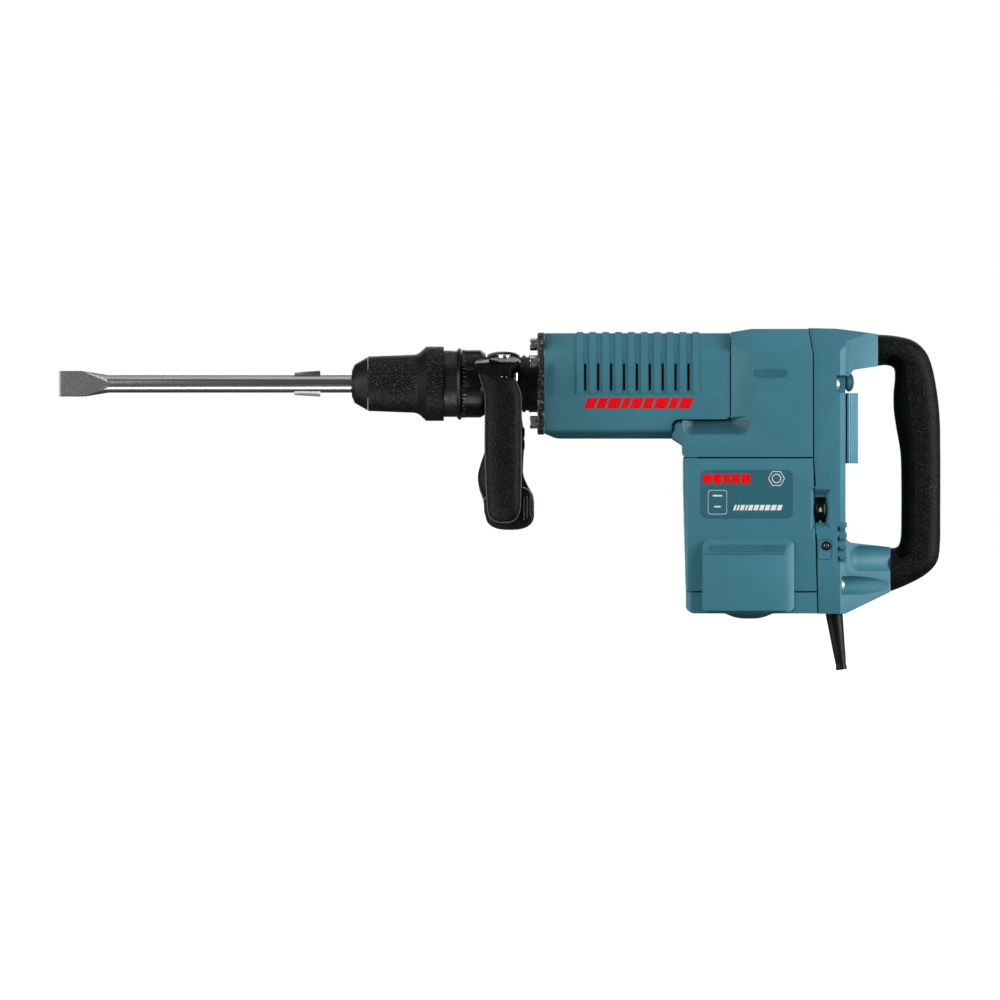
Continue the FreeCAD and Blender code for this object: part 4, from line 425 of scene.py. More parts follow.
def piece(name, vertices, faces, material, body, slot, sharp=35):
    """A new smooth mesh piece that rides on a body, its edges sharp past an angle in degrees."""
    mesh = bpy.data.meshes.new(name)
    mesh.from_pydata(vertices, [], faces)
    mesh.validate()
    work = bmesh.new()
    work.from_mesh(mesh)
    bmesh.ops.recalc_face_normals(work, faces=work.faces)
    work.to_mesh(mesh)
    work.free()
    for polygon in mesh.polygons:
        polygon.use_smooth = True
    mesh.set_sharp_from_angle(angle=math.radians(sharp))
    thing = bpy.data.objects.new(name, mesh)
    bpy.context.scene.collection.objects.link(thing)
    dress(thing, material)
    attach(thing, body)
    return thing


def bands(rings, count, closed=False):
    """Faces between neighbouring rings of count points, and from the last to the first when closed."""
    faces = []
    for ring in range(rings if closed else rings - 1):
        low, high = ring * count, (ring + 1) % rings * count
        for step in range(count):
            after = (step + 1) % count
            faces.append((low + step, low + after, high + after, high + step))
    return faces


def skin(rings):
    """Vertices and faces of a tube through rings of equal length, closed at both ends by fans."""
    count = len(rings[0])
    vertices = [point for ring in rings for point in ring]
    faces = bands(len(rings), count)
    for ring, start in ((rings[0], 0), (rings[-1], (len(rings) - 1) * count)):
        centre = len(vertices)
        vertices.append(sum(ring, Vector()) / count)
        for j in range(count):
            faces.append((start + j, start + (j + 1) % count, centre))
    return vertices, faces


def through(values, steps):
    """Points on a smooth curve through a list of vectors, with a number of steps to each span."""
    padded = [values[0] * 2 - values[1], *values, values[-1] * 2 - values[-2]]
    points = []
    for i in range(1, len(padded) - 2):
        before, start, end, after = padded[i - 1:i + 3]
        for step in range(steps):
            t = step / steps
            slope = (end - before) * t
            bend = (2 * before - 5 * start + 4 * end - after) * t ** 2
            twist = (3 * start - before - 3 * end + after) * t ** 3
            points.append(0.5 * (2 * start + slope + bend + twist))
    points.append(values[-1])
    return points


def squarish_ring(centre, depth, width, power, count, taper=0.0):
    """A ring, round at power 2 and squarer above it, narrowed on the side that its depth points away from."""
    ring = []
    for step in range(count):
        angle = 2 * math.pi * step / count
        across, up = math.cos(angle), math.sin(angle)
        reach = (abs(across) ** power + abs(up) ** power) ** (-1 / power)
        narrowed = 1 - taper * max(0.0, -across * reach) ** 1.5
        ring.append((centre + depth * across * reach + width * up * reach * narrowed) * MM)
    return ring


def rounded(x_low, x_high, z_low, z_high, radius, steps=6):
    """A rectangle with round corners, as (x, z) points."""
    points = []
    left, right, bottom, top = x_low + radius, x_high - radius, z_low + radius, z_high - radius
    for quarter, (x, z) in enumerate(((right, top), (left, top), (left, bottom), (right, bottom))):
        for step in range(steps + 1):
            angle = math.radians(90 * quarter + 90 * step / steps)
            points.append((x + radius * math.cos(angle), z + radius * math.sin(angle)))
    return points


def middle_of(outline):
    """The mean x and z of an outline's points."""
    return (sum(x for x, _ in outline) / len(outline), sum(z for _, z in outline) / len(outline))


def plate(name, outline, side, thick, material, body, slot, inset=0.3):
    """A thin plate on the left: an (x, z) outline raised by thick from a plane y = side, its rim bevelled."""
    middle_x, middle_z = middle_of(outline)
    rings = []
    for y, shrink in ((side + 0.3, 0), (side - thick + inset, 0), (side - thick, inset)):
        ring = []
        for x, z in outline:
            out = Vector((x - middle_x, 0, z - middle_z))
            ring.append(at(x, y, z) - out.normalized() * shrink * MM)
        rings.append(ring)
    piece(name, *skin(rings), material, body, slot, 30)


def ray_tree(node):
    """A node's mesh, ready for ray casts."""
    mesh = NODES[node].data
    return BVHTree.FromPolygons([v.co for v in mesh.vertices], [p.vertices for p in mesh.polygons])


def left_surface(node):
    """A function that gives the y, in millimetres, of a node's left face at (x, z), or None beside it."""
    tree = ray_tree(node)

    def face(x, z):
        spot = tree.ray_cast(at(x, -200, z), Vector((0, 1, 0)))[0]
        return spot.y / MM if spot else None
    return face


def front_face(node):
    """A function that gives the x, in millimetres, of a node's front at (y, z)."""
    tree = ray_tree(node)
    return lambda y, z: tree.ray_cast(at(300, y, z), Vector((1, 0, 0)))[0].x / MM


def knurls(name, spots, side, pitch, height, material, body, slot):
    """A field of small pyramids standing on a left face at (x, z) spots. side(x, z) gives the face's y."""
    vertices, faces = [], []
    root, sunk, crest = pitch * 0.4, 0.4, pitch * 0.22
    for x, z in spots:
        start, surface = len(vertices), side(x, z)
        for reach, y in ((root, surface + sunk), (crest, surface - height)):
            for turn in range(4):
                angle = math.pi / 2 * turn
                vertices.append(at(x + reach * math.cos(angle), y, z + reach * math.sin(angle)))
        faces.append(tuple(start + i for i in (3, 2, 1, 0)))
        faces.append(tuple(start + 4 + i for i in range(4)))
        for turn in range(4):
            after = (turn + 1) % 4
            faces.append((start + turn, start + after, start + 4 + after, start + 4 + turn))
    piece(name, vertices, faces, material, body, slot, 20)


def diamond_spots(x_low, x_high, z_low, z_high, pitch, inside):
    """Staggered rows of (x, z) spots in a box, kept where inside(x, z) is true."""
    spots = []
    rows = int((z_high - z_low) / (pitch / 2)) + 1
    for row in range(rows):
        z = z_low + row * pitch / 2
        x = x_low + (pitch / 2 if row % 2 else 0)
        while x <= x_high:
            if inside(x, z):
                spots.append((x, z))
            x += pitch
    return spots


def oval(x_low, x_high, z_low, z_high, power):
    """A test for points inside an oval that nearly fills a box."""
    middle_x, middle_z = (x_low + x_high) / 2, (z_low + z_high) / 2
    half_x, half_z = (x_high - x_low) / 2, (z_high - z_low) / 2
    share = 0.92
    return lambda x, z: abs((x - middle_x) / half_x) ** power + abs((z - middle_z) / half_z) ** power < share


def axes(axis):
    """An axis of length 1, and two directions square to it and to each other."""
    axis = Vector(axis).normalized()
    across = axis.orthogonal().normalized()
    return axis, across, axis.cross(across)


def lathe(points, origin, axis, steps=64):
    """A turned solid. Each point is (distance along the axis, radius) in millimetres."""
    axis, across, up = axes(axis)
    rings = []
    for along, radius in points:
        centre = Vector(origin) + axis * along * MM
        rings.append([centre + (across * math.cos(a) + up * math.sin(a)) * radius * MM
                      for a in (2 * math.pi * i / steps for i in range(steps))])
    return skin(rings)


# ---------------- rear grip
REAR_GRIP = [
    # inner (x, z), outer (x, z), half width
    ((820.6, 17.9), (820.6, 49.3), 24.5), ((829, 18.6), (836, 48.2), 23), ((836.4, 15.5), (855, 43.8), 21),
    ((837.6, 6), (868, 33), 19.5), ((836.3, -8), (875, 17), 19), ((836.3, -24), (880.2, -10), 19),
    ((838.6, -42), (882.8, -36), 19), ((843, -68), (883.3, -63), 19), ((844, -96), (883.4, -96), 19),
    ((844, -132), (883.3, -132), 19), ((843.6, -152), (883, -160), 19.5),
    ((841.5, -161.5), (880, -178.5), 20.5), ((837.5, -164.3), (868, -191.6), 21.5),
    ((834.5, -164.4), (849, -201.8), 22.5), ((833.2, -164), (833.4, -208), 23.5),
]


def rear_grip():
    """D-shaped grip: a rounded outer side, and a smooth flat facet along the hand's side."""
    stations = [Vector((*inner, *outer, half)) for inner, outer, half in REAR_GRIP]
    rings, count, taper = [], 40, 0.3
    for x_in, z_in, x_out, z_out, half in through(stations, 5):
        inner, outer = Vector((x_in, 0, z_in)), Vector((x_out, 0, z_out))
        width = Vector((0, half, 0))
        rings.append(squarish_ring((inner + outer) / 2, (outer - inner) / 2, width, 2.7, count, taper))
    grip = piece("rear_grip", *skin(rings), "grip", "machine", "black_grip", 60)
    grip.data.materials.append(MATERIALS["facet"].material)
    facet_half, first_ring, last_rings = 8, 4, 8
    facet = range(count // 2 - facet_half, count // 2 + facet_half)
    for index, polygon in enumerate(grip.data.polygons):
        ring, side = divmod(index, count)
        if side in facet and first_ring < ring < len(rings) - last_rings:
            polygon.material_index = 1
    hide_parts("rear_handle")


# ---------------- front grip
FRONT_GRIP = [
    # front (x, z), back (x, z), half width
    ((420.2, 9.4), (456.6, 4.9), 14.6), ((421.6, 4.5), (459, 1.6), 15.6), ((424.6, -5), (462, -6), 15.9),
    ((426.5, -17), (463.8, -16), 15.9), ((426.5, -67), (463.8, -67), 15.9),
    ((427.4, -96), (463.6, -100), 15.9), ((428.6, -121), (463.2, -119), 15.5),
    ((429.4, -129), (462.4, -127), 14.2), ((431.4, -134), (460.2, -133), 12),
    ((435.8, -137.2), (456.2, -137), 9), ((441.6, -139), (451, -138.9), 5),
]


def front_grip():
    """Upright side grip with a rounded end."""
    stations = [Vector((*front, *back, half)) for front, back, half in FRONT_GRIP]
    rings, middle = [], -78
    for x_front, z_front, x_back, z_back, half in through(stations, 6):
        front, back = Vector((x_front, middle, z_front)), Vector((x_back, middle, z_back))
        rings.append(squarish_ring((front + back) / 2, (back - front) / 2, Vector((0, half, 0)), 2.9, 48))
    grip = piece("front_grip", *skin(rings), "grip", "front_handle", "black_grip", 60)
    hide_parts("front_handle_grip")


def grip_rim():
    """Raised bead where the grip's two moulded halves meet, down one side, round the end and up the other;
    its pale grey is a painted highlight along that edge.
    """
    side, share, radius, count = -86, 0.95, 0.55, 10
    stations = [Vector((*front, *back)) for front, back, _ in FRONT_GRIP]
    front_side, back_side = [], []
    for x_front, z_front, x_back, z_back in through(stations, 4):
        front, back = Vector((x_front, side, z_front)), Vector((x_back, side, z_back))
        centre, reach = (front + back) / 2, (back - front) / 2 * share
        front_side.append(centre - reach)
        back_side.append(centre + reach)
    path = front_side + back_side[::-1]
    rings = []
    for index, point in enumerate(path):
        ahead, behind = path[min(index + 1, len(path) - 1)], path[max(index - 1, 0)]
        along = (ahead - behind).normalized()
        out = along.cross(Vector((0, 1, 0))).normalized()
        rings.append([(point + (out * math.cos(a) + Vector((0, 1, 0)) * math.sin(a)) * radius) * MM
                      for a in (2 * math.pi * i / count for i in range(count))])
    piece("grip_rim", *skin(rings), "rim", "front_handle", "black_grip", 60)


# ---------------- front handle frame
CLAMP_BLOCK = [
    (416, 19.6), (418, 22.6), (428.8, 26.2), (434.6, 28.2), (440.8, 30.1), (446, 31.1), (451.5, 31.3),
    (456, 30.3), (459.6, 28.3), (462.8, 24.6), (463, 19), (457.4, 15.6), (453.2, 11.6), (452.6, 5.9),
    (445, 6.8), (432, 8.5), (420.6, 9.9), (418.2, 15),
]
CLAMP_STATIONS = [
    # y, share of the crest taken away, share drawn in
    (-22, 0.5, 0.2), (-24, 0.15, 0.04), (-34, 0, 0), (-44, 0, 0), (-47, 0.3, 0), (-60, 0.46, 0),
    (-80, 0.72, 0), (-90, 0.84, 0), (-92.6, 0.9, 0.02), (-93.3, 0.95, 0.06),
]


def clamp_block():
    """Block over the grip: its top slopes down towards the hand from a crest behind the clamp bolt."""
    shoulder, middle = 20, (440, 15)
    rings = []
    for y, drop, inset in CLAMP_STATIONS:
        sloped = [(x, shoulder + (z - shoulder) * (1 - drop) if z > shoulder else z) for x, z in CLAMP_BLOCK]
        rings.append(drawn_in(sloped, middle, inset, y))
    block = piece("clamp_block", *skin(rings), "frame", *HANDLE, 28)
    bevel(block, 0.7)
    end = CLAMP_STATIONS[-1][0] + 0.1
    rim = [(447.8, 15.9), (460.6, 23), (461.4, 18.6), (451.3, 11.8)]
    facet = [(431, 24.4), (441, 22), (446, 19.4), (436, 18.6), (430.6, 20)]
    plate("block_rim", rim, end, 0.7, "grip", *HANDLE)
    plate("block_facet", facet, end, 0.7, "facet", *HANDLE)


def drawn_in(outline, middle, inset, y):
    """A ring at y through an (x, z) outline, drawn in towards its middle by a share."""
    centre = Vector((middle[0], 0, middle[1]))
    return [(centre.lerp(Vector((x, 0, z)), 1 - inset) + Vector((0, y, 0))) * MM for x, z in outline]


def bevel(thing, width):
    """Rounds a piece's sharp edges."""
    made = thing.modifiers.new("edges", "BEVEL")
    made.width = width * MM
    made.segments = 3
    made.limit_method = "ANGLE"
    made.angle_limit = math.radians(28)


def clamp_bolt_crown():
    """Domed crown on the clamp bolt's head, in a black seat on the sloping block."""
    low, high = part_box("front_handle_bolt")
    middle = (low + high) / 2
    middle.z = 0
    crown = [(23, 6.5), (26.4, 6.5), (27.2, 6.1), (28.2, 4.6), (28.8, 2.4), (28.9, 0.3)]
    up = (0, 0, 1)
    piece("clamp_bolt_crown", *lathe(crown, middle, up, 40), "plated", "front_handle_clamp", "plated_steel")
    seat = [(19, 7.1), (24.9, 7.1), (25.4, 7.6), (25.4, 9.2), (24.8, 9.8), (19, 9.8)]
    piece("clamp_bolt_seat", *tube_ring(seat, middle, up), "facet", *HANDLE)
    pin, pin_foot = [(2.4, 1.9), (3, 2.4), (10.2, 2.4), (10.8, 1.9)], at(457.6, -66, 0)
    piece("clamp_pin", *lathe(pin, pin_foot, up, 24), "plated", "front_handle", "plated_steel")


HANDLE_ARM = [
    # outer (y, z), inner (y, z), front x, back x
    ((13.5, -20), (-13.5, -20), 430, 462), ((14.2, -34), (-13.5, -34), 430, 464),
    ((14.4, -50), (-13, -50), 429.4, 466), ((14.4, -66), (-12.6, -64), 427.6, 466.2),
    ((14.4, -80), (-12.6, -78), 423, 465.4), ((14.4, -93), (-13, -90), 419.9, 465.6),
    ((14, -106), (-14.5, -100), 420.8, 470), ((12, -120), (-19, -107.5), 424.5, 475.4),
    ((6, -134), (-27, -111.6), 426.6, 476.2), ((-6, -143), (-36, -113), 427.6, 476.2),
    ((-24, -146.2), (-46, -113.4), 427.6, 476.2), ((-40, -146.4), (-50, -113.5), 427.4, 476.2),
]
SOCKET = [
    (425.6, -117), (426.2, -129), (428, -134.2), (431.2, -138.6), (438, -143.6), (448.9, -146.3),
    (461, -145), (468.4, -141.8), (473.6, -136.6), (475.9, -130), (476.2, -118.5), (474.4, -110.6),
    (471, -106.2), (465, -103.4), (458, -106.5), (440, -112), (428, -113),
]
SOCKET_STATIONS = [(-34, 0.08), (-38, 0), (-72, 0), (-77, 0.02), (-79.5, 0.06), (-80, 0.1)]


def handle_arm():
    """Arm that hangs from the clamp collar and turns under the hand, and the socket that takes the grip."""
    collar = [(429.2, 27.6), (429.2, 28.6), (431, 30), (435, 31.4), (440, 32.2), (446, 32.4), (452, 32.1),
              (457, 31.1), (460.4, 29.6), (461.8, 28.2), (461.8, 27.6)]
    piece("handle_collar", *tube_ring(collar, (0, 0, 0), (1, 0, 0), 72), "frame", *HANDLE)
    stations = [Vector((*outer, *inner, front, back)) for outer, inner, front, back in HANDLE_ARM]
    rings, foot, rise = [], -146, 40
    for y_out, z_out, y_in, z_in, x_front, x_back in through(stations, 4):
        outer, inner = Vector((0, y_out, z_out)), Vector((0, y_in, z_in))
        centre = (outer + inner) / 2 + Vector(((x_front + x_back) / 2, 0, 0))
        width = Vector(((x_back - x_front) / 2, 0, 0))
        power = 2.6 + 1.4 * min(1, max(0, (z_out - foot) / rise))
        rings.append(squarish_ring(centre, (outer - inner) / 2, width, power, 40))
    arm = piece("handle_arm", *skin(rings), "frame", *HANDLE, 50)
    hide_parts("front_handle_frame")

    rings = [drawn_in(SOCKET, (450, -126), inset, y) for y, inset in SOCKET_STATIONS]
    socket = piece("handle_socket", *skin(rings), "frame", *HANDLE, 40)
    bevel(socket, 0.8)
    side, rib_wide = SOCKET_STATIONS[-1][0] + 0.1, 1.6
    for index, x in enumerate((465.2, 468.4, 471.6)):
        rib = rounded(x, x + rib_wide, -137 + index * 2.2, -113.5 + index * 1.4, 0.75, 3)
        plate(f"socket_rib_{index + 1}", rib, side, 1.2, "rim_dark", *HANDLE, 0.4)
    knob = [(-1, 5.5), (0.4, 5.5), (1.2, 4.4), (1.5, 2)]
    for index, z in enumerate((-49, -61)):
        piece(f"arm_boss_{index + 1}", *lathe(knob, at(465.4, -8, z), (1, 0, 0), 32), "frame", *HANDLE)


# ---------------- marks and moulded details of the left side
MOTOR_SIDE, REAR_SIDE = (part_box(name)[0].y / MM for name in ("motor_housing", "rear_housing"))
BARREL_SIDE = -51


def surface_pads():
    """Knurled pads moulded into the barrel, the crank housing and the brush covers' sloping tops."""
    pitch, height = 2.1, 0.55
    for name, node, area, power in (("barrel_pad", "barrel_housing", (488.8, 497.2, -13, 19.2), 5),
                                    ("crank_pad", "crank_housing", (696, 729.5, 5.6, 14.8), 5),
                                    ("cover_pad", "brush_cover_left", (651, 728, -168.8, -161), 30)):
        spots = diamond_spots(*area, pitch, oval(*area, power))
        # the lighter knurl tops are a painted highlight, and the darker bed under them is painted shade
        knurls(name, spots, left_surface(node), pitch, height, "teal_knurl_highlight", *COVER)
        bed(f"{name}_bed", area, power, left_surface(node))


def bed(name, area, power, side):
    """Dark skin just over a left face, in a squarish oval that fills a box, as painted shade round and
    between the knurls.
    """
    x_low, x_high, z_low, z_high = area
    middle_x, middle_z = (x_low + x_high) / 2, (z_low + z_high) / 2
    half_x, half_z = (x_high - x_low) / 2, (z_high - z_low) / 2
    across, up = 6 if half_x < 10 else 24, 8
    count = (across + 1) * (up + 1)
    vertices, faces = [], []
    for lift in (0.3, -0.12):
        for j in range(up + 1):
            v = 2 * j / up - 1
            keep = (1 - abs(v) ** power * 0.98) ** (1 / power)
            for i in range(across + 1):
                x, z = middle_x + half_x * (2 * i / across - 1) * keep, middle_z + half_z * v
                vertices.append(at(x, side(x, z) + lift, z))
    for j in range(up):
        for i in range(across):
            start = j * (across + 1) + i
            face = (start, start + 1, start + across + 2, start + across + 1)
            faces += [face, tuple(count + k for k in face[::-1])]
    rim = [*range(across), *range(across, count - 1, across + 1), *range(count - 1, count - 1 - across, -1),
           *range(count - 1 - across, 0, -(across + 1))]
    for k, start in enumerate(rim):
        after = rim[(k + 1) % len(rim)]
        faces.append((start, count + start, count + after, after))
    piece(name, vertices, faces, "teal_bed_shade", *COVER, 40)


def slanted_bars(name, colour, start, low, high, slant, gap, widths, side):
    """Row of slanted blocks of uneven width, a plain mark."""
    x = start
    for index, wide in enumerate(widths):
        outline = [(x, low), (x + wide, low), (x + wide + slant, high), (x + slant, high)]
        plate(f"{name}_{index + 1}", outline, side, 0.14, colour, *COVER, 0.05)
        x += wide + gap


def label_plate():
    """Dark rating plate with plain marks: red blocks, a hexagon nut, a small frame and a few white lines."""
    thick, corner = 0.3, 7
    label = rounded(642.4, 735.4, -135, -86.2, corner)
    plate("label_plate", label, MOTOR_SIDE, thick, "teal_label", *COVER)
    face = MOTOR_SIDE - thick
    slanted_bars("label_block", "red", 644.8, -100.4, -90.6, 0, 1.6, (8, 9, 7, 8.4, 8.8), face)
    tick_widths = (2, 2, 3.6, 2, 4, 4.4, 4.2, 4.6, 5, 4.4)
    slanted_bars("label_tick", "white", 675, -126.9, -121.4, 1.8, 1.3, tick_widths, face)
    for index, area in enumerate(((654.6, 664.2, -113, -111.4), (656, 662.8, -123.8, -122.4))):
        line = rounded(*area, 0.6, 3)
        plate(f"label_line_{index + 1}", line, face, 0.1, "white", *COVER, 0.04)
    outline_mark("label_frame", rounded(649.9, 668.9, -130.8, -106.6, 2.6), 0.5, face, "white")
    nut_x, nut_z, across, bore = 718.4, -95, 8.4, 4.6
    outline_mark("label_nut", circle(nut_x, nut_z, across, 6), 0.75, face, "white")
    outline_mark("label_nut_bore", circle(nut_x, nut_z, bore), 0.75, face, "white")


def circle(x, z, radius, steps=48):
    """A circle, or a regular polygon with few steps, as (x, z) points."""
    return [(x + radius * math.cos(2 * math.pi * i / steps), z + radius * math.sin(2 * math.pi * i / steps))
            for i in range(steps)]


def outline_mark(name, outline, wide, face, material, thick=0.1):
    """A closed line that follows an (x, z) outline on a left face and stands slightly proud."""
    middle_x, middle_z = middle_of(outline)
    root, top = face + 0.1, face - thick
    vertices = []
    for inset, y in ((0, root), (0, top), (wide, top), (wide, root)):
        for x, z in outline:
            reach = math.hypot(x - middle_x, z - middle_z)
            keep = (reach - inset) / reach
            vertices.append(at(middle_x + (x - middle_x) * keep, y, middle_z + (z - middle_z) * keep))
    piece(name, vertices, bands(4, len(outline), True), material, *COVER, 30)


def dial_numbers():
    """Numbers 1 to 6 round the rim of the speed dial."""
    low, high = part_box("speed_dial")
    radius = (high.z - low.z) / 2
    centre = Vector((0, (low.y + high.y) / 2, (low.z + high.z) / 2))
    facing, between = 6, 45
    for digit in range(1, 7):
        curve = bpy.data.curves.new(f"dial_number_{digit}", "FONT")
        curve.body = str(digit)
        curve.size = 6.4 * MM
        curve.extrude = 0.12 * MM
        curve.align_x = curve.align_y = "CENTER"
        text = bpy.data.objects.new("dial_text", curve)
        mesh = bpy.data.meshes.new_from_object(text)
        bpy.data.objects.remove(text)
        turn = math.radians(between * (facing - digit))
        middle_x = (low.x + high.x - 4 * MM) / 2
        vertices, faces = [], [tuple(p.vertices) for p in mesh.polygons]
        for vertex in mesh.vertices:
            angle = turn - vertex.co.y / radius
            reach = radius + 0.02 * MM + vertex.co.z
            spot = Vector((middle_x + vertex.co.x, -math.cos(angle) * reach, -math.sin(angle) * reach))
            vertices.append(centre + spot)
        piece(f"dial_number_{digit}", vertices, faces, "white", "dial", "dial_black", 30)


def seam_gaskets():
    """Black gaskets in the flat seams above and below the motor housing."""
    low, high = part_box("motor_housing")
    inset, wide, lap, corner, probe_x, probe = 0.4, 2.2, 1.1, 7, 700, 1.5
    for name, level, inward in (("upper_gasket", high.z / MM, -probe), ("lower_gasket", low.z / MM, probe)):
        side = -left_surface("motor_housing")(probe_x, level + inward) - inset
        front = front_face("motor_housing")(0, level + inward) + inset
        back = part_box("rear_housing")[0].x / MM + 3
        outline = rounded(front, back, -side, side, corner)
        centre = Vector(((front + back) / 2, 0))
        vertices = []
        for shrink, z in ((0, level - lap), (0, level + lap), (wide, level + lap), (wide, level - lap)):
            for x, y in outline:
                out = Vector((x, y)) - centre
                spot = centre + out * (1 - shrink / out.length)
                vertices.append(at(spot.x, spot.y, z))
        piece(name, vertices, bands(4, len(outline), True), "facet", *TRIM, 40)


def seam_strips():
    """Black strips set into the seams of the housings, and round the corner under the barrel."""
    barrel, crank, rear = (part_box(name) for name in ("barrel_housing", "crank_housing", "rear_housing"))
    joint, top, step, round_off = barrel[1].x / MM + 0.4, barrel[1].z / MM - 4, -36.6, 5
    seam_top, bend, seam_low = 750.9, (755, 30), (759.6, rear[0].z / MM + 2)
    motor_low, motor_high = (corner.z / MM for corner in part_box("motor_housing"))
    paths = {
        "upper_seam": ([(630, motor_high + 0.4), (755.4, motor_high + 0.4)], "motor_housing", (-2, -3)),
        "lower_seam": ([(636, motor_low - 0.4), (758.6, motor_low - 0.4)], "motor_housing", (-4, 3)),
        "barrel_seam": ([(joint, top), (joint, step + round_off), (joint - 1.5, step + 1.5),
                         (joint - round_off, step), (620, step)], "barrel_housing", (-3, 3)),
        "rear_seam_upper": ([(seam_top, crank[1].z / MM - 3), bend, (755.4, motor_high), (757, -103)],
                            "rear_housing", (3, 0)),
        "rear_seam_lower": ([(758, -151), seam_low], "rear_housing", (3, 0)),
    }
    half, sunk, deep, parts = 0.75, -0.06, 1.6, 12
    for name, (corners, node, aside) in paths.items():
        surface = left_surface(node)
        ends = [Vector(corner) for corner in corners]
        line = [start.lerp(end, i / parts) for start, end in zip(ends, ends[1:]) for i in range(parts)]
        line.append(ends[-1])
        for side, sign in (("left", 1), ("right", -1)):
            rings = []
            for index, spot in enumerate(line):
                run = (line[min(index + 1, len(line) - 1)] - line[max(index - 1, 0)]).normalized()
                y = surface(spot[0] + aside[0], spot[1] + aside[1])
                if y is not None:
                    section = ((-half, sunk), (half, sunk), (half, deep), (-half, deep))
                    rings.append([at(spot[0] - run.y * reach, (y + inward) * sign, spot[1] + run.x * reach)
                                  for reach, inward in section])
            piece(f"{name}_{side}", *skin(rings), "facet", *TRIM, 40)


def chin_wedges():
    """Bright slanted faces that join the step under the barrel to the crank housing."""
    front, back, inner, outer = 615, 624.6, 46.7, 56.6
    slope = (outer - inner) / (back - front)
    outline = [(front, -45), (616.5, -41.4), (618.7, -39.7), (back, -39.7), (back, -61.2), (front, -54.6)]
    for side, sign in (("left", -1), ("right", 1)):
        slanted = [at(x, sign * (inner + slope * (x - front)), z) for x, z in outline]
        sunk = [at(x, sign * (inner - 2), z) for x, z in outline]
        wedge = piece(f"chin_wedge_{side}", *skin([sunk, slanted]), "teal", *COVER, 20)
        bevel(wedge, 0.5)


def vent_baffles():
    """Black baffles inside the barrel housing, right behind its vents."""
    room, outline = 46.4, rounded(521, 638, -11, 24, 4)
    for side, sign in (("left", -1), ("right", 1)):
        plate(f"vent_baffle_{side}", outline, sign * room, -sign, "facet", *TRIM, 0.2)


def lamp_surround():
    """Raised outline round the service lamp, and its bezel."""
    outline = rounded(759.4, 774, -176.4, -155.6, 3.4)
    outline_mark("lamp_surround", outline, 0.7, REAR_SIDE, "teal_shade", 0.12)
    low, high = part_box("service_lamp")
    middle, outward = (low + high) / 2, (0, -1, 0)
    middle.y = REAR_SIDE * MM
    bezel = [(-0.3, 4.6), (0.5, 4.6), (0.9, 4.2), (0.9, 3.5), (0.2, 3.1), (-0.3, 3.1)]
    piece("lamp_bezel", *tube_ring(bezel, middle, outward), "plastic", *TRIM)
    dome = [(-0.3, 3.05), (0.2, 3.05), (0.8, 2.4), (1.1, 1.3), (1.2, 0.2)]
    lens = piece("lamp_dome", *lathe(dome, middle, outward, 32), "lens", "machine", "lamp_lens")
    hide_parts("service_lamp")


def tube_ring(profile, origin, axis, steps=48):
    """A closed profile turned round an axis, open through the middle."""
    axis, across, up = axes(axis)
    vertices = []
    for step in range(steps):
        angle = 2 * math.pi * step / steps
        outward = across * math.cos(angle) + up * math.sin(angle)
        vertices += [Vector(origin) + axis * along * MM + outward * radius * MM for along, radius in profile]
    return vertices, bands(steps, len(profile), True)


def rear_louvres():
    """Hooded louvre lips down both rear corners of the housing."""
    top, pitch = -139.2, 10
    for side, sign in (("left", -1), ("right", 1)):
        for index in range(4):
            z = top - pitch * index
            outline = [(780.6, z), (784.6, z + 0.9), (788.8, z + 0.4), (789, z - 4.4), (786.4, z - 5.2),
                       (785.6, z - 7.2), (782, z - 7.4), (780.8, z - 3)]
            rings = [drawn_in(outline, (785, z - 3), inset, sign * y)
                     for y, inset in ((47.5, 0), (54.6, 0), (55.8, 0.12), (56.2, 0.3))]
            lip = piece(f"louvre_{side}_{index + 1}", *skin(rings), "teal", *COVER, 40)
            bevel(lip, 0.5)


def rocker_boot():
    """Soft lens-shaped boot over the top of the rocker switch."""
    profile = [(-9.6, 0.4), (-8.4, 2), (-6, 3.3), (-3, 4), (0, 4.2), (3, 4), (6, 3.3), (8.4, 2), (9.6, 0.4)]
    vertices, faces = lathe(profile, (0, 0, 0), (0, 0, 1), 28)
    vertices = [at(791.6, 0, 1.6) + Vector((v.x * 1.24, v.y * 3.4, v.z)) for v in vertices]
    piece("rocker_boot", vertices, faces, "boot", *COVER, 60)


def cord_sleeve():
    """Tapered cord sleeve with a rolled collar, round the same bore."""
    mount = next(mount for mount in frame["record"]["mounts"] if mount["name"] == "cord_bore")
    axis, middle = Vector(mount["axis"]), Vector(mount["pos_m"])
    bore = mount["dims"]["r_mm"] + 0.05
    top, end = -48.6, 11.9
    profile = [(top, bore), (top, 8.2), (top + 4, 8.6), (-30, 7.6), (-12, 6.5), (5, 5.5), (end - 5, 5.2),
               (end - 4, 5.7), (end - 0.7, 5.7), (end, 5.1), (end, bore)]
    sleeve = piece("cord_sleeve", *tube_ring(profile, middle, axis), "rubber", "machine", "black_grip", 40)
    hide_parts("strain_relief")


